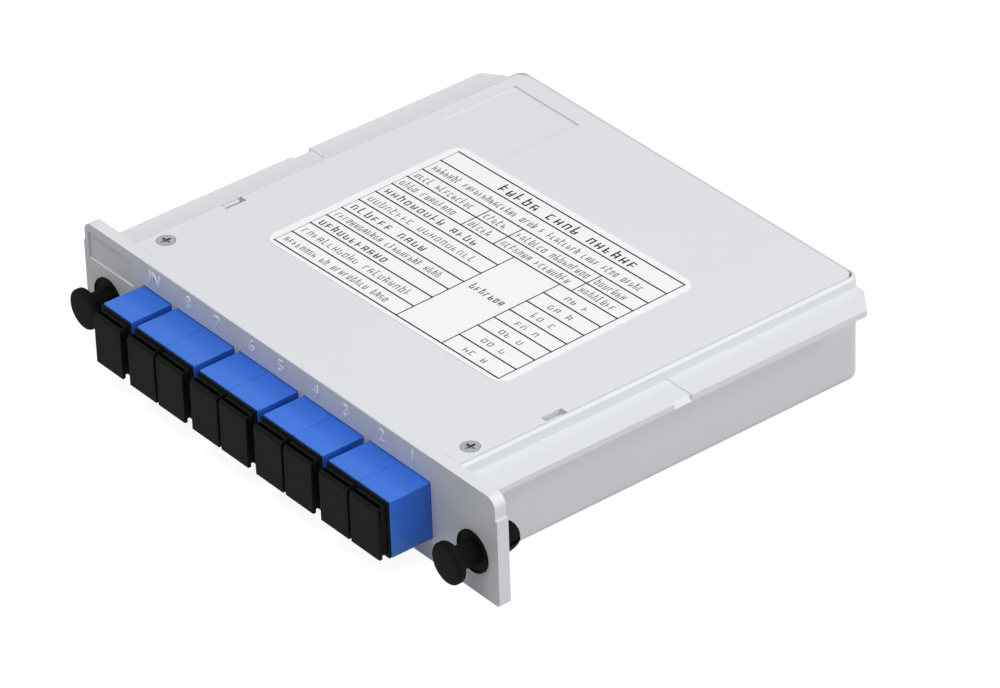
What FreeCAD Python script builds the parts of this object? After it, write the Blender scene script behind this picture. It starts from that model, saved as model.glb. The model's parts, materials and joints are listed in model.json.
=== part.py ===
import FreeCAD, Part
import math
import os

import Sketcher

# Plug-in fibre splitter cassette with one input and eight outputs, in millimetres.
# X runs along the front panel, Y from the panel to the rear, Z up with the lid on top.
# Inside each sub-part Y is counted from the front panel's face; every sub-part is then moved
# by one common shift, so that the origin lies under the middle of the whole part.

doc = FreeCAD.newDocument("fibre_splitter")
sizes = doc.addObject("Spreadsheet::Sheet", "sizes")

DRIVING_SIZES = [
    # fits
    ("fit", 0.05, "play between fixed pieces"),
    ("bite", 0.1, "how far a pad reaches into what it joins"),
    ("past", 1.0, "how far a cut runs past the surface"),
    # front panel
    ("panel_width", 130.0, "front panel, end to end"),
    ("panel_height", 24.0, "front panel and case, bottom to top"),
    ("panel_thickness", 2.7, "front panel, face to back"),
    ("panel_top_corner", 2.3, "radius of the panel's upper corners"),
    ("panel_foot_corner", 0.8, "radius of the panel's lower corners"),
    ("end_ledge", 0.5, "panel's ends above the ledge lie in by this"),
    ("ledge_drop", 4.6, "that ledge below the panel's top"),
    ("recess_side", 1.7, "label recess from the panel's end"),
    ("recess_width", 14.7, "label recess, across"),
    ("recess_drop", 2.1, "label recess below the panel's top"),
    ("recess_height", 6.0, "label recess, upright"),
    ("recess_depth", 0.35, "label recess in the panel"),
    # case
    ("flange", 13.1, "front panel beyond the case wall, each end"),
    ("case_depth", 101.4, "panel face to the rear wall"),
    ("case_corner", 2.6, "radius of the rear upright corners"),
    ("case_foot_radius", 2.0, "radius along the bottom edge"),
    ("rim_chamfer", 0.45, "cut along the top edge"),
    ("rim_width", 0.85, "rim left beside the lid"),
    ("rim_corner", 1.6, "radius of the lid seat's rear corners"),
    ("wall", 2.0, "side and rear walls"),
    ("floor", 1.6, "bottom of the case"),
    # side rails
    ("rail_reach", 7.5, "rail beyond the case wall"),
    ("rail_thickness", 1.4, "rail plate"),
    ("rail_drop", 2.25, "rail's upper face below the panel's top"),
    ("rail_short", 1.0, "rail ends before the rear wall's face by this"),
    ("rail_chamfer_across", 5.6, "cut corner at the rail's end, across"),
    ("rail_chamfer_along", 4.2, "cut corner at the rail's end, along"),
    ("rail_step", 0.2, "front stretch of the rail lies lower by this"),
    ("rail_step_at", 52.1, "where that stretch ends"),
    ("detent_start", 47.6, "detent ramp in the rail's edge, near end"),
    ("detent_length", 4.3, "detent ramp, along the rail"),
    ("detent_reach", 1.0, "detent ramp, across the rail"),
    # lid
    ("lid_thickness", 2.0, "cover plate"),
    ("lid_gap", 0.1, "seam round the lid"),
    ("lid_corner", 2.4, "radius of the lid's rear corners"),
    ("lip_clearance", 0.2, "number strip above the adapters"),
    ("slot_depth", 1.3, "snap notch in the lid's upper face"),
    ("slot_width", 1.95, "snap notch, across"),
    ("slot_length", 5.0, "snap notch, along"),
    ("slot_at", 26.1, "snap notch, middle from the panel's face"),
    ("nib_reach", 0.7, "snap nib on the rim"),
    ("nib_height", 0.7, "snap nib, upright"),
    ("nib_length", 3.8, "snap nib, along"),
    ("pocket_width", 20.6, "shallow field in the lid, across"),
    ("pocket_length", 20.0, "shallow field in the lid, along"),
    ("pocket_side", 14.4, "shallow field's middle from the case's side"),
    ("pocket_rear", 15.4, "shallow field's middle from the rear wall's face"),
    ("pocket_depth", 0.35, "shallow field"),
    ("press_rib", 1.5, "rib under the lid that holds the adapters down"),
    ("press_rib_at", 8.6, "that rib from the panel's face"),
    ("toe_spacing", 60.0, "rear toes under the lid, middle to middle"),
    ("toe_width", 8.0, "rear toe, across"),
    ("toe_thickness", 1.1, "rear toe, upright"),
    ("toe_reach", 0.9, "rear toe into the rear wall"),
    ("toe_leg", 1.6, "leg that carries the toe"),
    ("toe_drop", 0.4, "toe below the lid's seat"),
    # lid screws
    ("screw_side", 4.2, "lid screws from the case's side"),
    ("screw_at", 7.8, "lid screws from the panel's face"),
    ("screw_head", 1.9, "head radius"),
    ("screw_head_height", 1.1, "head"),
    ("screw_shank", 1.0, "shank radius"),
    ("screw_length", 8.0, "shank below the head"),
    ("screw_recess", 1.15, "cross recess, half its span"),
    ("screw_recess_width", 0.6, "cross recess, bar width"),
    ("screw_recess_depth", 0.6, "cross recess"),
    ("boss_radius", 1.95, "screw boss in the case"),
    ("bore_relief_below", 0.5, "screw bore below the screw's end"),
    # label
    ("label_width", 71.0, "sticker, across"),
    ("label_length", 50.4, "sticker, along"),
    ("label_corner", 3.0, "sticker corner radius"),
    ("label_thickness", 0.15, "sticker"),
    ("label_x", -0.9, "sticker's middle from the centre line"),
    ("label_at", 48.9, "sticker's middle from the panel's face"),
    ("label_turn", 1.8, "sticker's turn in degrees"),
    # adapters
    ("adapter_width", 9.3, "adapter pitch inside a pair"),
    ("adapter_gap", 1.7, "bar between groups of adapters"),
    ("adapter_seam", 0.06, "seam between the two adapters of a pair"),
    ("adapter_height", 12.75, "adapter, upright"),
    ("adapter_foot", 5.3, "adapter's underside above the bottom"),
    ("adapter_front", 9.7, "adapter in front of the panel"),
    ("adapter_length", 25.0, "adapter, front to back"),
    ("port_width", 7.6, "port, across"),
    ("port_height", 9.2, "port, upright"),
    ("key_width", 2.5, "key slot above the port, across"),
    ("key_height", 0.9, "key slot above the port, upright"),
    ("middle_wall", 1.6, "wall between the two ports of an adapter"),
    ("keel_slot", 1.6, "cross groove under the adapter, along"),
    ("keel_depth", 0.6, "cross groove under the adapter"),
    ("keel_at", 9.0, "cross groove from the panel's face"),
    ("front_rest", 2.0, "rail under the adapters behind the panel, along"),
    ("keel_rest", 1.2, "rail under the adapters beyond their groove, along"),
    # sleeve holder and sleeve in each adapter
    ("holder_plate_width", 6.1, "holder plate, across"),
    ("holder_plate_height", 7.9, "holder plate, upright"),
    ("barrel_radius", 2.2, "holder barrel, outside"),
    ("barrel_wall", 0.55, "holder barrel's wall"),
    ("barrel_reach", 6.2, "holder barrel from the middle wall's centre"),
    ("sleeve_wall", 0.34, "alignment sleeve's wall"),
    ("sleeve_length", 11.4, "alignment sleeve"),
    # connector behind each adapter
    ("connector_play", 0.1, "housing from the port's walls"),
    ("connector_length", 14.0, "connector housing, front to back"),
    ("connector_offset", 7.1, "housing's nose from the middle wall's centre"),
    ("ferrule_play", 0.02, "ferrule in the sleeve"),
    ("boot_root", 2.4, "boot radius at the housing"),
    ("boot_tip", 1.5, "boot radius at the fibre"),
    ("boot_length", 11.9, "boot"),
    # dust caps
    ("cap_inset", 0.35, "cap plate inside the adapter's sides"),
    ("cap_drop", 0.8, "cap plate's top below the adapter's"),
    ("cap_plate", 0.8, "cap plate"),
    ("cap_reach", 2.7, "cap in front of the adapter"),
    ("cap_body_inset", 0.25, "block behind the plate inside the plate's sides"),
    ("cap_body_rise", 0.6, "block's underside above the plate's"),
    ("cap_foot", 0.45, "cap plate's underside above the adapter's"),
    ("cap_chamfer", 0.6, "cut along the cap's top"),
    ("cap_rim", 0.5, "rim that lies on the adapter's face"),
    ("cap_rim_inset", 0.1, "rim inside the adapter's outline"),
    ("plug_play", 0.15, "cap plug from the port's walls"),
    ("plug_length", 5.4, "cap plug in the port"),
    ("plug_wall", 1.0, "cap plug's wall"),
    # push latches
    ("latch_side", 7.45, "latches from the panel's end"),
    ("latch_height", 9.05, "latches above the bottom"),
    ("collar_radius", 4.5, "collar in front of the panel"),
    ("collar_thickness", 0.5, "collar"),
    ("dish_radius", 4.05, "shallow dish in the collar's face"),
    ("dish_depth", 0.25, "that dish"),
    ("shoulder", 0.3, "collar's shoulder beyond the stem"),
    ("stem_radius", 3.25, "collar's stem behind the panel"),
    ("stem_length", 2.4, "round stem behind the panel"),
    ("bore_relief", 0.4, "that bore beyond the neck when pushed in"),
    ("leg_inset", 0.15, "split legs inside the stem where they leave it"),
    ("leg_tip", 1.75, "split legs' radius at their tips"),
    ("leg_length", 5.0, "split legs behind the stem"),
    ("leg_split", 0.8, "split between the legs"),
    ("knob_radius", 4.35, "plunger's knob"),
    ("knob_thickness", 1.7, "plunger's knob"),
    ("flare_radius", 3.5, "flare where it meets the knob"),
    ("flare_slope", 0.85, "cut along the flare's other end"),
    ("flare_length", 1.15, "flare from the knob to the neck"),
    ("neck_radius", 2.45, "plunger's neck"),
    ("pin_radius", 1.0, "plunger's pin"),
    ("plunger_travel", 3.4, "way that the plunger pushes in"),
    ("plunger_play", 1.1, "knob from the collar when pushed in"),
    # splitter module and its fibres
    ("module_length", 50.0, "splitter module"),
    ("module_width", 7.0, "splitter module, across"),
    ("module_height", 4.0, "splitter module, upright"),
    ("input_run", 2.6, "straight stretch between the input's turn and the module"),
    ("module_clearance", 4.1, "module from the rear wall"),
    ("module_seal", 1.2, "rubber seal at each end of the module"),
    ("fibre_radius", 0.45, "jacketed fibre"),
    ("fibre_pitch", 1.2, "fibre to fibre in a layer"),
    ("layer_rise", 0.5, "each layer from the adapters' axis"),
    ("loop_clearance", 1.85, "outermost fibre from the side wall"),
    ("entry_run", 0.6, "straight stretch between the front turn and a connector's turn"),
    ("loop_radius", 14.0, "innermost turn"),
    ("entry_radius", 8.0, "turn into a connector"),
    ("input_radius", 10.0, "turn of the input fibre"),
    # guides on the case's floor
    ("core_play", 1.15, "round core inside the innermost fibre"),
    ("core_wall", 1.6, "wall of that core"),
    ("core_height", 15.0, "top of the core above the bottom"),
    ("guide_width", 3.0, "ribs that carry the fibres and the module"),
    ("rest_play", 1.0, "ribs beyond the outermost fibres"),
    ("module_rest", 1.5, "rib behind the module's output end"),
    ("bridge_thickness", 1.0, "bridge under the fibre loop"),
    ("tab_thickness", 1.2, "tab over the fibre loop"),
    ("tab_play", 0.3, "tab above the fibres"),
    ("seal_inset", 0.4, "seal inside the module's outline"),
    ("finger", 1.3, "fingers beside the module"),
    ("finger_rise", 0.7, "fingers above the module"),
]
# How many flats stand in for a round where a piece repeats or lies out of sight.
FIBRE_SIDES = 6
INNER_SIDES = 8
LATCH_SIDES = 16
BOOT_SIDES = 12
CORE_SIDES = 20
CHORDS_PER_QUARTER = 3
for row, (alias, number_of_mm, meaning) in enumerate(DRIVING_SIZES, start=1):
    sizes.set(f"A{row}", meaning)
    sizes.set(f"B{row}", str(number_of_mm))
    sizes.setAlias(f"B{row}", alias)
doc.recompute()

# Places that several sub-parts share, as expressions over the sheet.
HALF_PANEL = "(sizes.panel_width / 2)"
HALF_CASE = "(sizes.panel_width / 2 - sizes.flange)"
INNER_SIDE = f"({HALF_CASE} - sizes.wall)"
LID_SEAT = "(sizes.panel_height - sizes.lid_thickness)"
RAIL_HALF = f"({HALF_CASE} + sizes.rail_reach)"
RAIL_END = "(sizes.case_depth - sizes.rail_short)"
RAIL_TOP = "(sizes.panel_height - sizes.rail_drop)"
SEAT_HALF = f"({HALF_CASE} - sizes.rim_width)"
SEAT_END = "(sizes.case_depth - sizes.rim_width)"
ROW_HALF = "((9 * sizes.adapter_width + 4 * sizes.adapter_gap) / 2)"
AXIS_HEIGHT = "(sizes.adapter_foot + sizes.adapter_height / 2)"
LIP_FOOT = "(sizes.adapter_foot + sizes.adapter_height + sizes.lip_clearance)"
LATCH_X = "(sizes.panel_width / 2 - sizes.latch_side)"
SCREW_X = f"({HALF_CASE} - sizes.screw_side)"
SLEEVE_RADIUS = "(sizes.barrel_radius - sizes.barrel_wall - sizes.fit)"
SLEEVE_BORE = f"({SLEEVE_RADIUS} - sizes.sleeve_wall)"
SHOULDER = "(sizes.stem_radius + sizes.shoulder)"
ADAPTER_MIDDLE = "(sizes.adapter_length / 2 - sizes.adapter_front)"
CONNECTOR_NOSE = f"({ADAPTER_MIDDLE} + sizes.connector_offset)"
BOOT_ROOT_Y = f"({CONNECTOR_NOSE} + sizes.connector_length)"
BOOT_TIP_Y = f"({BOOT_ROOT_Y} + sizes.boot_length)"
LOOP_SPREAD = "(3 * sizes.fibre_pitch)"
LOOP_X = f"({INNER_SIDE} - sizes.loop_clearance - sizes.fibre_radius - {LOOP_SPREAD} - sizes.loop_radius)"
LOOP_FRONT = f"({BOOT_TIP_Y} + sizes.entry_radius + sizes.entry_run + {LOOP_SPREAD} + sizes.loop_radius)"
MODULE_Y = "(sizes.case_depth - sizes.wall - sizes.module_clearance - sizes.module_width / 2)"
LOOP_REAR = f"({MODULE_Y} - {LOOP_SPREAD} / 2 - sizes.loop_radius)"
FRAME_SHIFT = "-(sizes.case_depth - sizes.adapter_front - sizes.cap_reach) / 2"
PORT_PLACES = 9


def number(expression):
    """What an expression over the sheet comes to."""
    return float(sizes.evalExpression(expression))


def adapter_x(place):
    """Middle of the adapter at a place counted from the left: the input alone, then four pairs."""
    gaps = (place + 1) // 2
    return f"(-{ROW_HALF} + {place + 0.5} * sizes.adapter_width + {gaps} * sizes.adapter_gap)"


MODULE_START_X = f"({adapter_x(0)} + sizes.input_radius + sizes.input_run)"
MODULE_END_X = f"({MODULE_START_X} + sizes.module_length)"


def port_name(place):
    """The input is at the left; the outputs count from the right end."""
    return "in" if place == 0 else str(PORT_PLACES - place)


# ---------------------------------------------------------------- sketches and features


def rectangle(left, low, right, high):
    return [(left, low), (right, low), (right, high), (left, high)]


def mirrored(points):
    """The same outline on the other side of the centre line."""
    return [(f"-({x})", y) for x, y in reversed(points)]


def circle(x, y, radius):
    return (x, y, radius)


def many_sided(x, y, radius, sides):
    """A regular outline that stands in for a circle where a piece repeats or lies out of sight."""
    spokes = [2 * math.pi * (k + 0.5) / sides for k in range(sides)]
    return [(f"{x} + {math.cos(a):.12f} * {radius}", f"{y} + {math.sin(a):.12f} * {radius}") for a in spokes]


def add_outline(sketch, points):
    """A closed outline whose corners are held by expressions."""
    corners = [FreeCAD.Vector(number(x), number(y), 0) for x, y in points]
    first = sketch.GeometryCount
    count = len(points)
    for k in range(count):
        sketch.addGeometry(Part.LineSegment(corners[k], corners[(k + 1) % count]))
    for k in range(count):
        sketch.addConstraint(Sketcher.Constraint("Coincident", first + k, 2, first + (k + 1) % count, 1))
    for k, (x, y) in enumerate(points):
        for kind, where, expression in (("DistanceX", corners[k].x, x), ("DistanceY", corners[k].y, y)):
            index = sketch.addConstraint(Sketcher.Constraint(kind, -1, 1, first + k, 1, where))
            sketch.setExpression(f"Constraints[{index}]", expression)


def add_circle(sketch, x, y, radius):
    centre = FreeCAD.Vector(number(x), number(y), 0)
    geometry = sketch.addGeometry(Part.Circle(centre, FreeCAD.Vector(0, 0, 1), number(radius)))
    for constraint, expression in (
        (Sketcher.Constraint("DistanceX", -1, 1, geometry, 3, centre.x), x),
        (Sketcher.Constraint("DistanceY", -1, 1, geometry, 3, centre.y), y),
        (Sketcher.Constraint("Radius", geometry, number(radius)), radius),
    ):
        index = sketch.addConstraint(constraint)
        sketch.setExpression(f"Constraints[{index}]", expression)


PLANES = {"floor": "XY_Plane", "front": "XZ_Plane", "side": "YZ_Plane"}


def add_sketch(body, name, plane, offset, shapes):
    """A sketch on one of the body's planes: floor at height offset, front at depth, side at X."""
    sketch = body.newObject("Sketcher::SketchObject", f"{name}_sketch")
    origin_plane = next(f for f in body.Origin.OriginFeatures if f.Role == PLANES[plane])
    sketch.AttachmentSupport = [(origin_plane, "")]
    sketch.MapMode = "FlatFace"
    along_normal = f"-({offset})" if plane == "front" else offset
    sketch.setExpression("AttachmentOffset.Base.z", along_normal)
    for shape in shapes:
        if isinstance(shape, tuple):
            add_circle(sketch, *shape)
        else:
            add_outline(sketch, shape)
    return sketch


def pad(body, name, plane, offset, shapes, length):
    """Adds material from the sketch towards +Z, +Y or +X."""
    feature = body.newObject("PartDesign::Pad", name)
    feature.Profile = add_sketch(body, name, plane, offset, shapes)
    feature.setExpression("Length", length)
    feature.Reversed = plane == "front"
    return feature


def pocket(body, name, plane, offset, shapes, length):
    """Takes material away from the sketch towards +Z, +Y or +X."""
    feature = body.newObject("PartDesign::Pocket", name)
    feature.Profile = add_sketch(body, name, plane, offset, shapes)
    feature.setExpression("Length", length)
    feature.Reversed = plane != "front"
    return feature


def new_body(label, x="0", z="0", y="0"):
    body = doc.addObject("PartDesign::Body", label)
    body.Label = label
    body.setExpression("Placement.Base.x", x)
    body.setExpression("Placement.Base.y", f"{y} + {FRAME_SHIFT}")
    body.setExpression("Placement.Base.z", z)
    return body


def lies_at(edge, **where):
    """True where both ends of the edge have the given coordinates; x may be on either side."""
    ends = [vertex.Point for vertex in edge.Vertexes]
    if "x" in where and ends[0].x * ends[-1].x < 0:
        return False
    for axis, wanted in where.items():
        found = [abs(end.x) if axis == "x" else getattr(end, axis) for end in ends]
        if any(abs(coordinate - wanted) > 0.01 for coordinate in found):
            return False
    return True


def round_edges(body, name, radius, chosen, kind="PartDesign::Fillet", size="Radius"):
    """Rounds or cuts the edges of the body so far that the test picks."""
    doc.recompute()
    base = body.Tip
    names = [f"Edge{k}" for k, edge in enumerate(base.Shape.Edges, start=1) if chosen(edge)]
    feature = body.newObject(kind, name)
    feature.Base = (base, names)
    feature.setExpression(size, radius)
    return feature


def cut_edges(body, name, size, chosen):
    return round_edges(body, name, size, chosen, "PartDesign::Chamfer", "Size")


# ---------------------------------------------------------------- case


def rail_outline():
    """One side rail seen from above, its rear corner cut off."""
    root = f"{HALF_CASE} - sizes.wall / 2"
    return [
        (root, "sizes.panel_thickness / 2"),
        (RAIL_HALF, "sizes.panel_thickness / 2"),
        (RAIL_HALF, f"{RAIL_END} - sizes.rail_chamfer_along"),
        (f"{RAIL_HALF} - sizes.rail_chamfer_across", RAIL_END),
        (root, RAIL_END),
    ]


def adapter_group(first, last, low, high, play):
    """A window or groove round the adapters from one place to another."""
    half = "sizes.adapter_width / 2"
    return rectangle(
        f"{adapter_x(first)} - {half} - {play}", low, f"{adapter_x(last)} + {half} + {play}", high
    )


ADAPTER_GROUPS = [(0, 0), (1, 2), (3, 4), (5, 6), (7, 8)]


def build_case():
    body = new_body("base_shell")
    pad(body, "case_block", "floor", "0",
        [rectangle(f"-{HALF_CASE}", "0", HALF_CASE, "sizes.case_depth")], "sizes.panel_height")
    half, depth, top = number(HALF_CASE), number("sizes.case_depth"), number("sizes.panel_height")
    round_edges(body, "rear_corners", "sizes.case_corner", lambda e: lies_at(e, x=half, y=depth))
    foot = lambda e: lies_at(e, z=0) and max(v.Point.y for v in e.Vertexes) > 1
    round_edges(body, "foot_round", "sizes.case_foot_radius", foot)
    pocket(body, "lid_seat", "floor", LID_SEAT,
           [rectangle(f"-{SEAT_HALF}", "sizes.panel_thickness", SEAT_HALF, SEAT_END)],
           "sizes.lid_thickness + sizes.past")
    seat_half, seat_end = number(SEAT_HALF), number(SEAT_END)
    round_edges(body, "lid_seat_corners", "sizes.rim_corner", lambda e: lies_at(e, x=seat_half, y=seat_end))

    def on_rim(edge):
        ends = [v.Point for v in edge.Vertexes]
        outer = all(abs(abs(p.x) - half) < 0.01 or abs(p.y - depth) < 0.01 for p in ends)
        return outer and lies_at(edge, z=top) and max(p.y for p in ends) > 1

    cut_edges(body, "rim_cut", "sizes.rim_chamfer", on_rim)

    pad(body, "side_rails", "floor", f"{RAIL_TOP} - sizes.rail_thickness",
        [rail_outline(), mirrored(rail_outline())], "sizes.rail_thickness")
    beyond = f"({RAIL_HALF} + sizes.past)"
    lowered = rectangle(HALF_CASE, "sizes.panel_thickness / 2", beyond, "sizes.rail_step_at")
    pocket(body, "rail_steps", "floor", f"{RAIL_TOP} - sizes.rail_step",
           [lowered, mirrored(lowered)], "sizes.rail_step + sizes.past")
    ramp = [
        (f"{RAIL_HALF} - sizes.detent_reach", RAIL_TOP),
        (f"{RAIL_HALF}", f"{RAIL_TOP} - sizes.rail_thickness"),
        (beyond, f"{RAIL_TOP} - sizes.rail_thickness"),
        (beyond, RAIL_TOP),
    ]
    pocket(body, "rail_detents", "front", "sizes.detent_start", [ramp, mirrored(ramp)], "sizes.detent_length")

    pad(body, "front_panel", "front", "0",
        [rectangle("-sizes.panel_width / 2", "0", "sizes.panel_width / 2", "sizes.panel_height")],
        "sizes.panel_thickness")
    end = number("sizes.panel_width / 2")
    round_edges(body, "panel_foot_corners", "sizes.panel_foot_corner", lambda e: lies_at(e, x=end, z=0))
    ledge = rectangle("sizes.panel_width / 2 - sizes.end_ledge", "sizes.panel_height - sizes.ledge_drop",
                      "sizes.panel_width / 2 + sizes.past", "sizes.panel_height + sizes.past")
    pocket(body, "panel_end_ledges", "front", "-sizes.past", [ledge, mirrored(ledge)],
           "sizes.panel_thickness + 2 * sizes.past")
    upper_end = number("sizes.panel_width / 2 - sizes.end_ledge")
    round_edges(body, "panel_top_corners", "sizes.panel_top_corner", lambda e: lies_at(e, x=upper_end, z=top))
    recess_end = f"({HALF_PANEL} - sizes.recess_side)"
    recess_head = "(sizes.panel_height - sizes.recess_drop)"
    pocket(body, "panel_recess", "front", "0",
           [rectangle(f"-{recess_end}", f"{recess_head} - sizes.recess_height",
                      f"-{recess_end} + sizes.recess_width", recess_head)],
           "sizes.recess_depth")

    pocket(body, "cavity", "floor", "sizes.floor",
           [rectangle(f"-{INNER_SIDE}", "sizes.panel_thickness", INNER_SIDE, "sizes.case_depth - sizes.wall")],
           "sizes.panel_height")

    lip_half = f"({ROW_HALF} + 2 * sizes.lid_gap)"
    pocket(body, "lip_opening", "front", "-sizes.past",
           [rectangle(f"-{lip_half}", LIP_FOOT, lip_half, "sizes.panel_height + sizes.past")],
           "sizes.panel_thickness + sizes.past")
    windows = [
        adapter_group(first, last, "sizes.adapter_foot - sizes.fit", f"{LIP_FOOT} + sizes.past", "sizes.fit")
        for first, last in ADAPTER_GROUPS
    ]
    pocket(body, "adapter_windows", "front", "-sizes.past", windows, "sizes.panel_thickness + sizes.past")
    hole = circle(LATCH_X, "sizes.latch_height", f"{SHOULDER} + sizes.fit")
    other_hole = circle(f"-{LATCH_X}", "sizes.latch_height", f"{SHOULDER} + sizes.fit")
    pocket(body, "latch_holes", "front", "-sizes.past", [hole, other_hole],
           "sizes.panel_thickness + 2 * sizes.past")

    build_adapter_seats(body)
    build_screw_bosses(body)
    build_snap_nibs(body)
    build_toe_slots(body)
    build_guides(body)
    return body


def build_adapter_seats(body):
    """Rails under the adapters, a ridge in their grooves and fins between the groups."""
    seat = "sizes.adapter_foot - sizes.fit"
    keel_end = "sizes.keel_at + sizes.keel_slot"
    pad(body, "adapter_rails", "floor", "sizes.floor",
        [rectangle(f"-{INNER_SIDE}", "sizes.panel_thickness", INNER_SIDE,
                   "sizes.panel_thickness + sizes.front_rest"),
         rectangle(f"-{INNER_SIDE}", "sizes.keel_at - sizes.keel_rest", INNER_SIDE,
                   f"{keel_end} + sizes.keel_rest")],
        f"{seat} - sizes.floor")
    pad(body, "adapter_ridge", "floor", seat,
        [rectangle(f"-{ROW_HALF}", "sizes.keel_at + sizes.fit", ROW_HALF, f"{keel_end} - sizes.fit")],
        "sizes.keel_depth - sizes.fit")
    fins = []
    for (_, left), (right, _) in zip(ADAPTER_GROUPS, ADAPTER_GROUPS[1:]):
        half = "(sizes.adapter_width / 2 + sizes.fit)"
        fins.append(rectangle(f"{adapter_x(left)} + {half}", "sizes.panel_thickness / 2",
                              f"{adapter_x(right)} - {half}", f"{keel_end} + sizes.keel_rest"))
    pad(body, "adapter_fins", "floor", "sizes.floor", fins, f"{LIP_FOOT} - sizes.lid_gap - sizes.floor")


def build_screw_bosses(body):
    """Half-round bosses on the side walls, bored for the lid screws."""
    y, radius = "sizes.screw_at", "sizes.boss_radius"
    bosses, bores = [], []
    for side in ("", "-"):
        bosses.append(circle(f"{side}{SCREW_X}", y, radius))
        bores.append(many_sided(f"{side}{SCREW_X}", y, "sizes.screw_shank", INNER_SIDES))
    web = rectangle(SCREW_X, f"{y} - {radius}", f"{INNER_SIDE} + sizes.wall / 2", f"{y} + {radius}")
    height = f"{LID_SEAT} - sizes.floor"
    pad(body, "screw_bosses", "floor", "sizes.floor", bosses, height)
    pad(body, "screw_webs", "floor", "sizes.floor", [web, mirrored(web)], height)
    screw_end = "(sizes.panel_height - sizes.screw_head_height - sizes.screw_length)"
    pocket(body, "screw_bores", "floor", f"{screw_end} - sizes.bore_relief_below", bores,
           "sizes.screw_length")


def build_snap_nibs(body):
    """A nib on each side rim that holds the lid's notch down."""
    nib = rectangle(f"{SEAT_HALF} - sizes.nib_reach", "sizes.slot_at - sizes.nib_length / 2",
                    f"{SEAT_HALF} + sizes.rim_width / 2", "sizes.slot_at + sizes.nib_length / 2")
    ledge = "sizes.panel_height - sizes.slot_depth + sizes.fit"
    pad(body, "snap_nibs", "floor", ledge, [nib, mirrored(nib)], "sizes.nib_height")


def build_toe_slots(body):
    """Two blind slots in the rear wall that take the lid's toes."""
    half = "(sizes.toe_width / 2 + sizes.lid_gap)"
    wall_face = "sizes.case_depth - sizes.wall"
    toe_top = f"{LID_SEAT} - sizes.toe_drop"
    slots = []
    for side in ("", "-"):
        middle = f"{side}sizes.toe_spacing / 2"
        slots.append(rectangle(f"{middle} - {half}", f"{toe_top} - sizes.toe_thickness - sizes.lid_gap",
                               f"{middle} + {half}", f"{toe_top} + sizes.lid_gap"))
    pocket(body, "toe_slots", "front", f"{wall_face} - sizes.past", slots,
           "sizes.past + sizes.toe_reach + sizes.lid_gap")


def build_guides(body):
    """The loop core, the bridge and tab beside it, and the ribs that carry module and fibres."""
    shelf = f"({AXIS_HEIGHT} - sizes.layer_rise - sizes.fibre_radius - sizes.fit)"
    loop_middle = f"(({LOOP_REAR} + {LOOP_FRONT}) / 2)"
    core_radius = "(sizes.loop_radius - sizes.fibre_radius - sizes.core_play)"
    core = many_sided(LOOP_X, loop_middle, core_radius, CORE_SIDES)
    hollow = many_sided(LOOP_X, loop_middle, f"({core_radius} - sizes.core_wall)", CORE_SIDES)
    pad(body, "loop_core", "floor", "sizes.floor", [core, hollow], "sizes.core_height - sizes.floor")

    near, far = f"{loop_middle} - sizes.guide_width / 2", f"{loop_middle} + sizes.guide_width / 2"
    core_edge = f"{LOOP_X} + {core_radius} - sizes.core_wall / 2"
    in_wall = f"{INNER_SIDE} + sizes.wall / 4"
    pad(body, "loop_bridge", "floor", f"{shelf} - sizes.bridge_thickness",
        [rectangle(core_edge, near, in_wall, far)], "sizes.bridge_thickness")
    over = f"({AXIS_HEIGHT} + sizes.layer_rise + sizes.fibre_radius + sizes.tab_play)"
    tab_start = f"{LOOP_X} + sizes.loop_radius + sizes.fibre_radius"
    pad(body, "loop_tab", "floor", over, [rectangle(tab_start, near, in_wall, far)], "sizes.tab_thickness")

    run_near = f"{LOOP_FRONT} - sizes.loop_radius - {LOOP_SPREAD} - sizes.rest_play"
    run_far = f"{LOOP_FRONT} - sizes.loop_radius + sizes.rest_play"
    exit_near = f"{LOOP_REAR} + sizes.loop_radius - sizes.rest_play"
    exit_far = f"{LOOP_REAR} + sizes.loop_radius + {LOOP_SPREAD} + sizes.rest_play"
    front_rest = f"{adapter_x(5)} - sizes.adapter_width"
    rear_rest = f"{MODULE_END_X} + sizes.module_rest"
    rest = "sizes.guide_width / 2"
    pad(body, "fibre_rests", "floor", "sizes.floor",
        [rectangle(front_rest, run_near, f"{front_rest} + {rest}", run_far),
         rectangle(rear_rest, exit_near, f"{rear_rest} + {rest}", exit_far)], f"{shelf} - sizes.floor")

    seat = f"({AXIS_HEIGHT} - sizes.module_height / 2)"
    side = "(sizes.module_width / 2 + sizes.fit)"
    cradles, fingers = [], []
    for share in (0.2, 0.8):
        left = f"({MODULE_END_X} - {share} * sizes.module_length - sizes.guide_width / 2)"
        right = f"({left} + sizes.guide_width)"
        cradles.append(rectangle(left, f"{MODULE_Y} - {side} - sizes.finger", right,
                                 f"{MODULE_Y} + {side} + sizes.finger"))
        fingers.append(rectangle(left, f"{MODULE_Y} - {side} - sizes.finger", right, f"{MODULE_Y} - {side}"))
        fingers.append(rectangle(left, f"{MODULE_Y} + {side}", right, f"{MODULE_Y} + {side} + sizes.finger"))
    pad(body, "module_cradles", "floor", "sizes.floor", cradles, f"{seat} - sizes.floor")
    pad(body, "module_fingers", "floor", seat, fingers, "sizes.module_height + sizes.finger_rise")


# ---------------------------------------------------------------- lid, label and screws


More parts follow.
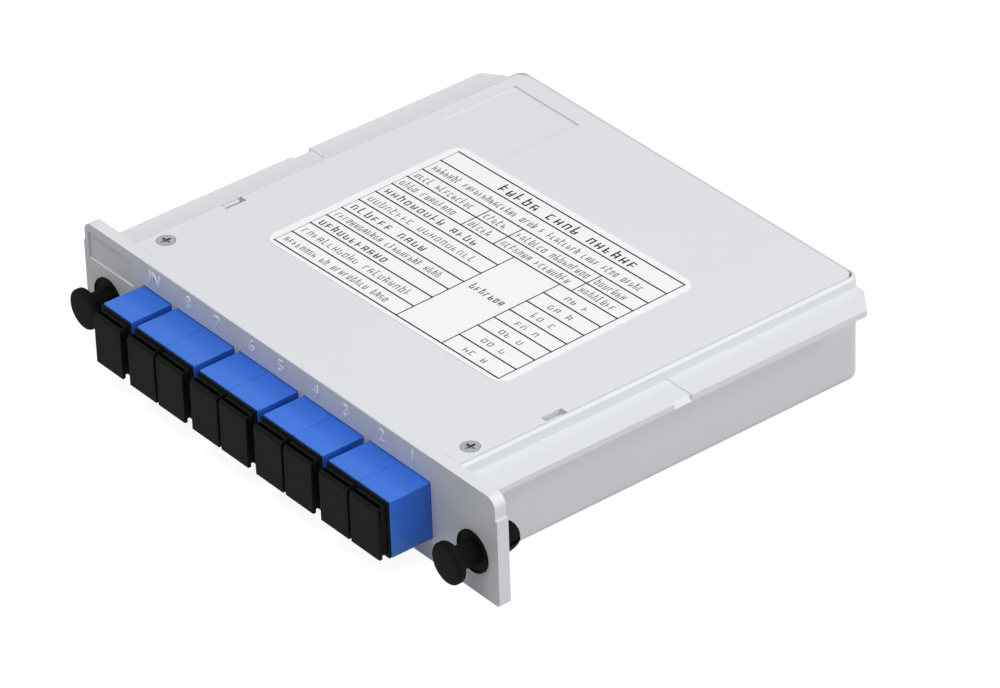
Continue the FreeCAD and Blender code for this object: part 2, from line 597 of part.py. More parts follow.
def build_lid():
    body = new_body("lid")
    half = f"({SEAT_HALF} - sizes.lid_gap)"
    end = f"({SEAT_END} - sizes.lid_gap)"
    shoulder = "(sizes.panel_thickness + sizes.lid_gap / 2)"
    lip_half = f"({ROW_HALF} + sizes.lid_gap)"
    plate = [
        (f"-{lip_half}", "0"), (lip_half, "0"), (lip_half, shoulder), (half, shoulder),
        (half, end), (f"-{half}", end), (f"-{half}", shoulder), (f"-{lip_half}", shoulder),
    ]
    pad(body, "cover_plate", "floor", LID_SEAT, [plate], "sizes.lid_thickness")
    corner_x, corner_y = number(half), number(end)
    round_edges(body, "rear_corners", "sizes.lid_corner", lambda e: lies_at(e, x=corner_x, y=corner_y))
    pad(body, "number_strip", "front", "0",
        [rectangle(f"-{lip_half}", LIP_FOOT, lip_half, f"{LID_SEAT} + sizes.bite")],
        "sizes.panel_thickness")
    pad(body, "press_rib", "front", "sizes.press_rib_at",
        [rectangle(f"-{ROW_HALF}", "sizes.adapter_foot + sizes.adapter_height + sizes.fit", ROW_HALF,
                   f"{LID_SEAT} + sizes.bite")], "sizes.press_rib")

    wall_face = "(sizes.case_depth - sizes.wall)"
    toe_top = f"({LID_SEAT} - sizes.toe_drop)"
    legs, toes = [], []
    for side in ("", "-"):
        middle = f"{side}sizes.toe_spacing / 2"
        left, right = f"{middle} - sizes.toe_width / 2", f"{middle} + sizes.toe_width / 2"
        leg_front = f"{wall_face} - sizes.lid_gap - sizes.toe_leg"
        legs.append(rectangle(left, leg_front, right, f"{wall_face} - sizes.lid_gap"))
        toes.append(rectangle(left, leg_front, right, f"{wall_face} + sizes.toe_reach"))
    pad(body, "toe_legs", "floor", f"{toe_top} - sizes.toe_thickness", legs,
        f"{LID_SEAT} + sizes.bite - {toe_top} + sizes.toe_thickness")
    pad(body, "toes", "floor", f"{toe_top} - sizes.toe_thickness", toes, "sizes.toe_thickness")

    notch = rectangle(f"{half} - sizes.slot_width", "sizes.slot_at - sizes.slot_length / 2",
                      f"{half} + sizes.past", "sizes.slot_at + sizes.slot_length / 2")
    pocket(body, "snap_notches", "floor", "sizes.panel_height - sizes.slot_depth",
           [notch, mirrored(notch)], "sizes.slot_depth + sizes.past")
    field_x, field_y = f"(sizes.pocket_side - {HALF_CASE})", "(sizes.case_depth - sizes.pocket_rear)"
    field = rectangle(f"{field_x} - sizes.pocket_width / 2", f"{field_y} - sizes.pocket_length / 2",
                      f"{field_x} + sizes.pocket_width / 2", f"{field_y} + sizes.pocket_length / 2")
    pocket(body, "marking_field", "floor", "sizes.panel_height - sizes.pocket_depth", [field],
           "sizes.pocket_depth + sizes.past")
    heads, shanks = [], []
    for side in ("", "-"):
        x = f"{side}{SCREW_X}"
        heads.append(circle(x, "sizes.screw_at", "sizes.screw_head + sizes.lid_gap"))
        shanks.append(many_sided(x, "sizes.screw_at", "(sizes.screw_shank + sizes.lid_gap)", INNER_SIDES))
    pocket(body, "head_seats", "floor", "sizes.panel_height - sizes.screw_head_height", heads,
           "sizes.screw_head_height + sizes.past")
    pocket(body, "shank_holes", "floor", f"{LID_SEAT} - sizes.past", shanks,
           "sizes.lid_thickness + 2 * sizes.past")


def build_label():
    body = new_body("label", x="sizes.label_x", y="sizes.label_at", z="sizes.panel_height")
    body.setExpression("Placement.Rotation.Angle", "sizes.label_turn")
    width, length = "sizes.label_width / 2", "sizes.label_length / 2"
    pad(body, "sticker", "floor", "0", [rectangle(f"-{width}", f"-{length}", width, length)],
        "sizes.label_thickness")
    thickness = number("sizes.label_thickness")
    upright = lambda e: e.Vertexes[0].Point.distanceToPoint(e.Vertexes[-1].Point) < 2 * thickness
    round_edges(body, "sticker_corners", "sizes.label_corner", upright)


def build_screws():
    """Both lid screws as one group: a flat head with a cross recess, and a plain shank."""
    screws = []
    for side, sign in (("left", "-"), ("right", "")):
        body = new_body(f"lid_screw_{side}", x=f"{sign}{SCREW_X}", y="sizes.screw_at",
                        z="sizes.panel_height - sizes.screw_head_height")
        pad(body, f"head_{side}", "floor", "0", [circle("0", "0", "sizes.screw_head")],
            "sizes.screw_head_height")
        pad(body, f"shank_{side}", "floor", "-sizes.screw_length",
            [many_sided("0", "0", "(sizes.screw_shank - sizes.fit)", INNER_SIDES)],
            "sizes.screw_length + sizes.bite")
        span, bar = "sizes.screw_recess", "(sizes.screw_recess_width / 2)"
        cross = [
            (f"-{span}", f"-{bar}"), (f"-{bar}", f"-{bar}"), (f"-{bar}", f"-{span}"), (bar, f"-{span}"),
            (bar, f"-{bar}"), (span, f"-{bar}"), (span, bar), (bar, bar), (bar, span), (f"-{bar}", span),
            (f"-{bar}", bar), (f"-{span}", bar),
        ]
        pocket(body, f"cross_{side}", "floor", "sizes.screw_head_height - sizes.screw_recess_depth", [cross],
               "sizes.screw_recess_depth + sizes.past")
        screws.append(body)
    return group("lid_screws", screws)


def group(label, members):
    compound = doc.addObject("Part::Compound", label)
    compound.Label = label
    compound.Links = members
    return compound


# ---------------------------------------------------------------- adapters and what they hold


def build_adapter(place):
    name = port_name(place)
    body = new_body(f"adapter_{name}", x=adapter_x(place), z=AXIS_HEIGHT)
    half = "((sizes.adapter_width - sizes.adapter_seam) / 2)"
    tall = "(sizes.adapter_height / 2)"
    pad(body, f"shell_{name}", "front", "-sizes.adapter_front",
        [rectangle(f"-{half}", f"-{tall}", half, tall)], "sizes.adapter_length")
    port_half, port_tall = "(sizes.port_width / 2)", "(sizes.port_height / 2)"
    key = "(sizes.key_width / 2)"
    port = [
        (f"-{port_half}", f"-{port_tall}"), (port_half, f"-{port_tall}"), (port_half, port_tall),
        (key, port_tall), (key, f"{port_tall} + sizes.key_height"),
        (f"-{key}", f"{port_tall} + sizes.key_height"), (f"-{key}", port_tall), (f"-{port_half}", port_tall),
    ]
    depth = "(sizes.adapter_length - sizes.middle_wall) / 2"
    pocket(body, f"front_port_{name}", "front", "-sizes.adapter_front", [port], depth)
    pocket(body, f"rear_port_{name}", "front", f"{ADAPTER_MIDDLE} + sizes.middle_wall / 2", [port], depth)
    plate, height = "(sizes.holder_plate_width / 2 + sizes.fit)", "(sizes.holder_plate_height / 2 + sizes.fit)"
    pocket(body, f"holder_window_{name}", "front", f"{ADAPTER_MIDDLE} - sizes.middle_wall",
           [rectangle(f"-{plate}", f"-{height}", plate, height)], "2 * sizes.middle_wall")
    pocket(body, f"keel_groove_{name}", "side", f"-{half} - sizes.past",
           [rectangle("sizes.keel_at", f"-{tall} - sizes.past", "sizes.keel_at + sizes.keel_slot",
                      f"-{tall} + sizes.keel_depth")], "sizes.adapter_width + 2 * sizes.past")


def barrel(label, place, start, length, outer, inner):
    """A tube or pin along the adapter's axis; it repeats out of sight, so it has few sides."""
    body = new_body(label, x=adapter_x(place), z=AXIS_HEIGHT)
    rings = [many_sided("0", "0", radius, INNER_SIDES) for radius in (outer, inner) if radius]
    pad(body, f"{label}_tube", "front", start, rings, length)
    return body


def build_holders():
    """The white inner piece of each adapter: a plate with a barrel through it."""
    holders = []
    bore = f"({SLEEVE_RADIUS} + sizes.fit)"
    for place in range(PORT_PLACES):
        label = f"sleeve_holder_{port_name(place)}"
        body = barrel(label, place, f"{ADAPTER_MIDDLE} - sizes.barrel_reach", "2 * sizes.barrel_reach",
                      "sizes.barrel_radius", bore)
        half, tall = "(sizes.holder_plate_width / 2)", "(sizes.holder_plate_height / 2)"
        pad(body, f"{label}_plate", "front", f"{ADAPTER_MIDDLE} - sizes.middle_wall / 2",
            [rectangle(f"-{half}", f"-{tall}", half, tall),
             many_sided("0", "0", bore, INNER_SIDES)], "sizes.middle_wall")
        holders.append(body)
    return group("sleeve_holders", holders)


def build_sleeves():
    sleeves = []
    for place in range(PORT_PLACES):
        start = f"{ADAPTER_MIDDLE} - sizes.sleeve_length / 2"
        sleeves.append(barrel(f"sleeve_{port_name(place)}", place, start, "sizes.sleeve_length",
                              SLEEVE_RADIUS, SLEEVE_BORE))
    return group("alignment_sleeves", sleeves)


def build_connector(place):
    name = port_name(place)
    body = new_body(f"connector_{name}", x=adapter_x(place), z=AXIS_HEIGHT)
    half = "(sizes.port_width / 2 - sizes.connector_play)"
    tall = "(sizes.port_height / 2 - sizes.connector_play)"
    pad(body, f"housing_{name}", "front", CONNECTOR_NOSE,
        [rectangle(f"-{half}", f"-{tall}", half, tall)], "sizes.connector_length")
    key, rise = "((sizes.key_width - sizes.lid_gap) / 2)", "(sizes.key_height - sizes.lid_gap)"
    pad(body, f"key_{name}", "front", CONNECTOR_NOSE,
        [rectangle(f"-{key}", f"{tall} - sizes.bite", key, f"{tall} + {rise}")], "sizes.connector_length / 2")


def build_ferrules():
    ferrules = []
    for place in range(PORT_PLACES):
        ferrules.append(barrel(f"ferrule_{port_name(place)}", place, f"{ADAPTER_MIDDLE} + sizes.fit",
                               "sizes.connector_offset - sizes.fit",
                               f"({SLEEVE_BORE} - sizes.ferrule_play)", None))
    return group("ferrules", ferrules)


def tapered_solid(centre, length, root, tip, sides):
    """A straight many-sided taper along Y, built from its flat faces."""
    rings = []
    for radius, y in ((root, 0.0), (tip, length)):
        ring = []
        for k in range(sides):
            spoke = 2 * math.pi * (k + 0.5) / sides
            ring.append(centre + FreeCAD.Vector(radius * math.cos(spoke), y, radius * math.sin(spoke)))
        rings.append(ring)
    faces = [Part.Face(Part.makePolygon(ring + ring[:1])) for ring in rings]
    for k in range(sides):
        after = (k + 1) % sides
        corners = [rings[0][k], rings[0][after], rings[1][after], rings[1][k], rings[0][k]]
        faces.append(Part.Face(Part.makePolygon(corners)))
    return Part.makeSolid(Part.makeShell(faces))


def build_boots():
    """Tapered strain reliefs between the connectors and the fibres."""
    boots = []
    level, start, length = number(AXIS_HEIGHT), number(BOOT_ROOT_Y), number("sizes.boot_length")
    for place in range(PORT_PLACES):
        centre = FreeCAD.Vector(number(adapter_x(place)), start, level)
        boot = doc.addObject("Part::Feature", f"boot_{port_name(place)}")
        boot.Shape = tapered_solid(centre, length, number("sizes.boot_root"), number("sizes.boot_tip"),
                                   BOOT_SIDES)
        boot.Placement = FreeCAD.Placement(FreeCAD.Vector(0, number(FRAME_SHIFT), 0), FreeCAD.Rotation())
        boots.append(boot)
    return group("connector_boots", boots)


def build_cap(place):
    """A dust cap: a hollow plug in the port, a block on it and a slightly larger front plate."""
    name = port_name(place)
    body = new_body(f"dust_cap_{name}", x=adapter_x(place), z=AXIS_HEIGHT, y="-sizes.adapter_front")
    foot = "(-sizes.adapter_height / 2 + sizes.cap_foot)"
    top = "(sizes.adapter_height / 2 - sizes.cap_drop)"
    half = "(sizes.adapter_width / 2 - sizes.cap_inset)"
    pad(body, f"cap_plate_{name}", "front", "-sizes.cap_reach",
        [rectangle(f"-{half}", foot, half, top)], "sizes.cap_plate")
    block = f"({half} - sizes.cap_body_inset)"
    rim_front = "(-sizes.fit - sizes.cap_rim)"
    pad(body, f"cap_block_{name}", "front", "-sizes.cap_reach + sizes.cap_plate",
        [rectangle(f"-{block}", f"{foot} + sizes.cap_body_rise", block, top)],
        f"sizes.cap_reach - sizes.cap_plate + {rim_front}")
    top_edge = {"z": number(top), "y": number("-sizes.cap_reach")}
    cut_edges(body, f"cap_crown_{name}", "sizes.cap_chamfer", lambda e: lies_at(e, **top_edge))
    rim_half = "(sizes.adapter_width / 2 - sizes.cap_rim_inset)"
    rim_tall = "(sizes.adapter_height / 2 - sizes.cap_rim_inset)"
    pad(body, f"cap_rim_{name}", "front", rim_front,
        [rectangle(f"-{rim_half}", f"-{rim_tall}", rim_half, rim_tall)], "sizes.cap_rim")
    plug, tall = "(sizes.port_width / 2 - sizes.plug_play)", "(sizes.port_height / 2 - sizes.plug_play)"
    wall = "sizes.plug_wall"
    pad(body, f"plug_{name}", "front", "-sizes.fit",
        [rectangle(f"-{plug}", f"-{tall}", plug, tall),
         rectangle(f"-{plug} + {wall}", f"-{tall} + {wall}", f"{plug} - {wall}", f"{tall} - {wall}")],
        "sizes.plug_length + sizes.fit")


# ---------------------------------------------------------------- push latches


def build_collar(side, sign):
    """The latch's fixed half: dished collar, round stem and four tapered legs behind the panel."""
    collar = new_body(f"latch_collar_{side}", x=f"{sign}{LATCH_X}", z="sizes.latch_height")
    face = "(-sizes.collar_thickness)"
    stem_end = "(sizes.panel_thickness + sizes.stem_length)"
    tip = f"({stem_end} + sizes.leg_length)"
    leg_root = "(sizes.stem_radius - sizes.leg_inset)"
    pad(collar, f"legs_{side}", "front", stem_end,
        [many_sided("0", "0", leg_root, INNER_SIDES)], "sizes.leg_length")
    beyond = "(sizes.stem_radius + sizes.past)"
    wedge = [(stem_end, leg_root), (tip, "sizes.leg_tip"), (tip, beyond), (stem_end, beyond)]
    under = [(y, f"-({z})") for y, z in reversed(wedge)]
    pocket(collar, f"tapers_upright_{side}", "side", f"-{beyond}", [wedge, under], f"2 * {beyond}")
    outward = [(z, y) for y, z in reversed(wedge)]
    pocket(collar, f"tapers_level_{side}", "floor", f"-{beyond}", [outward, mirrored(outward)],
           f"2 * {beyond}")
    pad(collar, f"stem_{side}", "front", "0", [circle("0", "0", "sizes.stem_radius")], stem_end)
    pad(collar, f"shoulder_{side}", "front", "0",
        [many_sided("0", "0", SHOULDER, LATCH_SIDES)], "sizes.panel_thickness")
    pad(collar, f"disc_{side}", "front", face, [circle("0", "0", "sizes.collar_radius")],
        "sizes.collar_thickness")
    pocket(collar, f"dish_{side}", "front", f"{face} - sizes.past", [circle("0", "0", "sizes.dish_radius")],
           "sizes.dish_depth + sizes.past")
    corner = f"((sizes.neck_radius + sizes.fit) / {math.cos(math.pi / BOOT_SIDES):.6f})"
    pocket(collar, f"neck_bore_{side}", "front", face, [many_sided("0", "0", corner, BOOT_SIDES)],
           f"sizes.plunger_travel + sizes.bore_relief - {face}")
    pin_bore = many_sided("0", "0", "(sizes.pin_radius + sizes.fit)", BOOT_SIDES)
    pocket(collar, f"pin_bore_{side}", "front", "0", [pin_bore], f"{tip} + sizes.past")
    slit = "(sizes.leg_split / 2)"
    cross = [
        (f"-{beyond}", f"-{slit}"), (f"-{slit}", f"-{slit}"), (f"-{slit}", f"-{beyond}"),
        (slit, f"-{beyond}"), (slit, f"-{slit}"), (beyond, f"-{slit}"), (beyond, slit), (slit, slit),
        (slit, beyond), (f"-{slit}", beyond), (f"-{slit}", slit), (f"-{beyond}", slit),
    ]
    pocket(collar, f"splits_{side}", "front", stem_end, [cross], "sizes.leg_length + sizes.past")
    return collar


def build_plunger(side, sign):
    """The latch's moving half: a knob that flares out of a neck, and the pin between the legs."""
    plunger = new_body(f"latch_plunger_{side}", x=f"{sign}{LATCH_X}", z="sizes.latch_height")
    knob_back = "(-sizes.collar_thickness - sizes.plunger_travel - sizes.plunger_play)"
    pad(plunger, f"flare_{side}", "front", knob_back,
        [many_sided("0", "0", "sizes.flare_radius", LATCH_SIDES)], "sizes.flare_length")
    flare_end = number(f"{knob_back} + sizes.flare_length")
    cut_edges(plunger, f"flare_slope_{side}", "sizes.flare_slope", lambda e: lies_at(e, y=flare_end))
    pad(plunger, f"knob_{side}", "front", f"{knob_back} - sizes.knob_thickness",
        [circle("0", "0", "sizes.knob_radius")], "sizes.knob_thickness")
    pad(plunger, f"neck_{side}", "front", knob_back,
        [many_sided("0", "0", "sizes.neck_radius", LATCH_SIDES)], f"-{knob_back} - sizes.fit")
    pad(plunger, f"pin_{side}", "front", "-sizes.fit",
        [many_sided("0", "0", "sizes.pin_radius", BOOT_SIDES)],
        "sizes.fit + sizes.panel_thickness + sizes.stem_length + sizes.leg_length")


# ---------------------------------------------------------------- splitter module and fibres


def build_module():
    body = new_body("splitter_module", z=AXIS_HEIGHT, y=MODULE_Y)
    half, tall = "(sizes.module_width / 2)", "(sizes.module_height / 2)"
    left = f"({MODULE_START_X} + sizes.module_seal)"
    pad(body, "steel_tube", "side", left, [rectangle(f"-{half}", f"-{tall}", half, tall)],
        "sizes.module_length - 2 * sizes.module_seal")
    seals = []
    half = "(sizes.module_width / 2 - sizes.seal_inset)"
    tall = "(sizes.module_height / 2 - sizes.seal_inset)"
    right_end = f"({MODULE_END_X} - sizes.module_seal)"
    for side, start in (("input", MODULE_START_X), ("output", right_end)):
        seal = new_body(f"module_seal_{side}", z=AXIS_HEIGHT, y=MODULE_Y)
        pad(seal, f"seal_{side}", "side", start, [rectangle(f"-{half}", f"-{tall}", half, tall)],
            "sizes.module_seal")
        seals.append(seal)
    return group("module_seals", seals)


def turn(start, heading, radius, degrees):
    """Points along an arc that leaves start at a heading; positive degrees turn left. Also the new heading."""
    sign = 1 if degrees > 0 else -1
    centre = start + FreeCAD.Vector(-math.sin(heading), math.cos(heading), 0) * (sign * radius)
    chords = max(1, round(abs(degrees) / 90 * CHORDS_PER_QUARTER))
    points = []
    for k in range(1, chords + 1):
        spin = FreeCAD.Rotation(FreeCAD.Vector(0, 0, 1), degrees * k / chords)
        points.append(centre + spin.multVec(start - centre))
    return points, heading + math.radians(degrees)


def fibre_route(start, heading, steps):
    """Corner points of straight runs and turns; a step is ("run", length) or ("turn", radius, degrees)."""
    points = [start]
    for step in steps:
        if step[0] == "run":
            points.append(points[-1] + FreeCAD.Vector(math.cos(heading), math.sin(heading), 0) * step[1])
        else:
            arc, heading = turn(points[-1], heading, step[1], step[2])
            points += arc
    return Part.makePolygon(points)


def output_steps(place):
    """Rear turn, front turn and entry of one output fibre, from the module's end to its boot."""
    rank = (place - 1) // 2
    radius = number(f"sizes.loop_radius + {rank} * sizes.fibre_pitch")
    entry = number("sizes.entry_radius")
    x = number(adapter_x(place))
    loop_x, rear, front = number(LOOP_X), number(LOOP_REAR), number(LOOP_FRONT)
    boot_tip = number(BOOT_TIP_Y)
    steps = [("run", loop_x - number(MODULE_END_X)), ("turn", radius, -90)]
    if x + entry < loop_x:
        steps += [
            ("run", rear - front), ("turn", radius, -90), ("run", loop_x - x - entry),
            ("turn", entry, 90), ("run", front - radius - entry - boot_tip),
        ]
    else:
        aside = loop_x + radius - x
        bend = min(90.0, math.degrees(math.acos(max(0.0, 1 - aside / (2 * entry)))))
        across = aside - 2 * entry * (1 - math.cos(math.radians(bend)))
        fall = 2 * entry * math.sin(math.radians(bend))
        last = number("sizes.fibre_pitch")
        steps += [("run", rear - boot_tip - fall - last), ("turn", entry, -bend)]
        steps += [("run", across)] if across > 0.01 else []
        steps += [("turn", entry, bend), ("run", last)]
    return steps


def build_fibre(label, start, heading, steps):
    """A jacketed fibre: six sides and chorded turns, because it lies out of sight."""
    route = fibre_route(start, heading, steps)
    radius = number("sizes.fibre_radius")
    ahead = FreeCAD.Vector(math.cos(heading), math.sin(heading), 0)
    across = ahead.cross(FreeCAD.Vector(0, 0, 1))
    corners = []
    for k in range(FIBRE_SIDES + 1):
        angle = 2 * math.pi * (k + 0.5) / FIBRE_SIDES
        aside = across * (radius * math.cos(angle))
        corners.append(start + aside + FreeCAD.Vector(0, 0, radius * math.sin(angle)))
    mitred = 1
    tube = route.makePipeShell([Part.makePolygon(corners)], True, False, mitred)
    section = FIBRE_SIDES / 2 * math.sin(2 * math.pi / FIBRE_SIDES) * radius**2
    expected = section * route.Length
    if abs(tube.Volume - expected) > 0.02 * expected:
        raise RuntimeError(f"{label}: swept volume {tube.Volume:.2f}, expected {expected:.2f}")
    feature = doc.addObject("Part::Feature", label)
    feature.Shape = tube
    feature.Placement = FreeCAD.Placement(FreeCAD.Vector(0, number(FRAME_SHIFT), 0), FreeCAD.Rotation())
    print(f"{label}: {route.Length:.1f} long")
    return feature


def build_fibres():
    east, north = 0.0, math.pi / 2
    level, rise = number(AXIS_HEIGHT), number("sizes.layer_rise")
    fibres = []
    for place in range(1, PORT_PLACES):
        rank = (place - 1) // 2
        layer = rise if place % 2 else -rise
        y = number(f"{LOOP_REAR} + sizes.loop_radius + {rank} * sizes.fibre_pitch")
        start = FreeCAD.Vector(number(MODULE_END_X), y, level + layer)
        fibres.append(build_fibre(f"fibre_{port_name(place)}", start, east, output_steps(place)))
    x, boot_tip, radius = number(adapter_x(0)), number(BOOT_TIP_Y), number("sizes.input_radius")
    steps = [("run", number(MODULE_Y) - radius - boot_tip), ("turn", radius, -90),
             ("run", number("sizes.input_run"))]
    fibres.append(build_fibre("fibre_in", FreeCAD.Vector(x, boot_tip, level), north, steps))
    return fibres


# ---------------------------------------------------------------- build, check and write


def check(objects):
    for thing in doc.Objects:
        if "Invalid" in thing.State or "Error" in thing.State:
            raise RuntimeError(f"{thing.Label} did not compute: {thing.State}")
    for thing in doc.Objects:
        if thing.TypeId in ("PartDesign::Pocket", "PartDesign::Groove") and thing.BaseFeature:
            if thing.BaseFeature.Shape.Volume - thing.Shape.Volume < 0.001:
                raise RuntimeError(f"{thing.Label} takes nothing away")
    for thing in objects:
        if thing.Shape.isNull() or not thing.Shape.isValid() or thing.Shape.Volume <= 0:
            raise RuntimeError(f"{thing.Label} is not a sound solid")


def main():
    build_case()
    build_lid()
    build_label()
    members = {"lid_screws": build_screws()}
    for place in range(PORT_PLACES):
        build_adapter(place)
        build_connector(place)
        build_cap(place)
    members["sleeve_holders"] = build_holders()
    members["alignment_sleeves"] = build_sleeves()
    members["ferrules"] = build_ferrules()
    members["connector_boots"] = build_boots()
    members["latch_collars"] = group("latch_collars", [build_collar("left", "-"), build_collar("right", "")])
    build_plunger("left", "-")
    build_plunger("right", "")
    members["module_seals"] = build_module()
    fibres = build_fibres()
    doc.recompute()

    inside_groups = {member.Label for compound in members.values() for member in compound.Links}
    bodies = [b for b in doc.Objects if b.TypeId == "PartDesign::Body" and b.Label not in inside_groups]
    nodes = bodies + list(members.values()) + fibres
    check(nodes)
    os.makedirs("parts", exist_ok=True)
    for node in nodes:
        node.Shape.exportStep(f"parts/{node.Label}.step")
    print(f"{len(nodes)} nodes written")
    return nodes


if __name__ == "__main__":
    main()
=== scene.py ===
"""Looks for the plug-in fibre splitter cassette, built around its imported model."""

import json
import math

import bmesh
import bpy
import numpy as np
from mathutils import Matrix, Vector


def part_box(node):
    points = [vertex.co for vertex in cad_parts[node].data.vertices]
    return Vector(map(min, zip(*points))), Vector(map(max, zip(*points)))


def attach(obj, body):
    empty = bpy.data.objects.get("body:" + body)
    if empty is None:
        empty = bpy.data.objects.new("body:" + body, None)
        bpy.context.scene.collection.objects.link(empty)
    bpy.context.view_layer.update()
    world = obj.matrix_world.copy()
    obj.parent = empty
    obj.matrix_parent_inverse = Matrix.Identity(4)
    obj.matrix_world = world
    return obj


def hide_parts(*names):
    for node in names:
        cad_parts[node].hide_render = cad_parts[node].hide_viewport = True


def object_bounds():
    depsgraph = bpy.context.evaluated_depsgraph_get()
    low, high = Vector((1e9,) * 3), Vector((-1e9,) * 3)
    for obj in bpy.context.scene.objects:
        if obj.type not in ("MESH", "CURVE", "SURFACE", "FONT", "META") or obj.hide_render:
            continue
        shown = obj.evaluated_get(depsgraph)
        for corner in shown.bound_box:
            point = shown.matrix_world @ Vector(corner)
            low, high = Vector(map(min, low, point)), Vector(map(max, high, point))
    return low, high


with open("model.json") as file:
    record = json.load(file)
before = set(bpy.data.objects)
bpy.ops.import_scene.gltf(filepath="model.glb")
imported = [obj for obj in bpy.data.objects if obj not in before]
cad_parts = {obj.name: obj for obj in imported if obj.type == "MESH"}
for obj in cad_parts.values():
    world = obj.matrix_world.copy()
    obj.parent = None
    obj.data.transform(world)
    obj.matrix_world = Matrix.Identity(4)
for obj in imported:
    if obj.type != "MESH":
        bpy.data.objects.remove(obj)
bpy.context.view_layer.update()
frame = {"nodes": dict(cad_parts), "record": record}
nodes = frame["nodes"]

MM = 0.001
# The ports from left to right.
PORTS = ["in", "8", "7", "6", "5", "4", "3", "2", "1"]
# The panel's face along Y, in millimetres.
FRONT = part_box("base_shell")[0].y / MM
# Corners nearer to each other than this are one corner.
MERGE = 2e-6
# Faces that meet at less than this are shaded as one round face, and at less than FLAT_BELOW are one flat face.
SMOOTH_BELOW = math.radians(32)
FLAT_BELOW = math.radians(0.3)


# ---------------------------------------------------------------- meshes


def add_piece(name, vertices, faces, body, material):
    """A new piece from whole arrays, riding on a body and finished like a record slot."""
    mesh = bpy.data.meshes.new(name)
    mesh.from_pydata(np.asarray(vertices, float).tolist(), [], [list(map(int, f)) for f in faces])
    mesh.update()
    piece = bpy.data.objects.new(name, mesh)
    bpy.context.scene.collection.objects.link(piece)
    mesh.materials.append(material)
    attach(piece, body)
    return piece


def boxes(rectangles, low, high):
    """Upright boxes over rows of (left, front, right, rear): eight corners each, as one array."""
    r = np.asarray(rectangles, float)
    corner_x = r[:, [0, 2, 2, 0, 0, 2, 2, 0]]
    corner_y = r[:, [1, 1, 3, 3, 1, 1, 3, 3]]
    corner_z = np.tile([low] * 4 + [high] * 4, (len(r), 1))
    vertices = np.stack([corner_x, corner_y, corner_z], axis=2).reshape(-1, 3)
    sides = np.array([[0, 3, 2, 1], [4, 5, 6, 7], [0, 1, 5, 4], [1, 2, 6, 5], [2, 3, 7, 6], [3, 0, 4, 7]])
    faces = (sides[None] + 8 * np.arange(len(r))[:, None, None]).reshape(-1, 4)
    return vertices, faces


def finished_copy(node, body, slot):
    """A copy of a node that stands for it: its corners merged, round faces smooth and edges crisp.

    Corners closer than the merging distance get one number, by rounding them to that grid.
    """
    source = nodes[node].data
    corners = np.empty(len(source.vertices) * 3)
    source.vertices.foreach_get("co", corners)
    _, first, number = np.unique(np.round(corners.reshape(-1, 3) / MERGE), axis=0,
                                 return_index=True, return_inverse=True)
    loops = np.empty(len(source.loops), int)
    source.loops.foreach_get("vertex_index", loops)
    triangles = number.reshape(-1)[loops].reshape(-1, 3)
    whole = (triangles[:, 0] != triangles[:, 1]) & (triangles[:, 1] != triangles[:, 2])
    whole &= triangles[:, 2] != triangles[:, 0]
    piece = add_piece(f"{node}_finished", corners.reshape(-1, 3)[first], triangles[whole], body,
                      FINISHES[slot])
    shade_by_angle(piece)
    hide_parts(node)
    return piece


def shade_by_angle(piece):
    """Smooth shading with crisp edges wherever two faces meet at more than SMOOTH_BELOW."""
    piece.data.polygons.foreach_set("use_smooth", np.ones(len(piece.data.polygons), bool))
    piece.data.set_sharp_from_angle(angle=SMOOTH_BELOW)


def eased_edges(piece, radius):
    """Rounds the sharp edges of a plain boxy piece and keeps its flat faces flat."""
    bevel = piece.modifiers.new("eased_edges", "BEVEL")
    bevel.width = radius
    bevel.segments = 2
    bevel.limit_method = "ANGLE"
    bevel.angle_limit = SMOOTH_BELOW
    bevel.use_clamp_overlap = False
    bevel.harden_normals = True


def round_chosen(piece, tests, radius):
    """Rounds only the sharp edges whose two ends both pass one of the tests on (x, y, z) in millimetres."""
    form = bmesh.new()
    form.from_mesh(piece.data)
    bmesh.ops.dissolve_limit(form, angle_limit=FLAT_BELOW, verts=form.verts, edges=form.edges)

    def chosen(edge):
        ends = [corner.co / MM for corner in edge.verts]
        return edge.calc_face_angle(0.0) > SMOOTH_BELOW and any(all(map(test, ends)) for test in tests)

    bmesh.ops.bevel(form, geom=[edge for edge in form.edges if chosen(edge)], offset=radius, segments=2,
                    profile=0.5, affect="EDGES", clamp_overlap=False)
    form.to_mesh(piece.data)
    form.free()
    shade_by_angle(piece)
    flat = piece.modifiers.new("flat_faces", "WEIGHTED_NORMAL")
    flat.keep_sharp = True
    flat.weight = 100


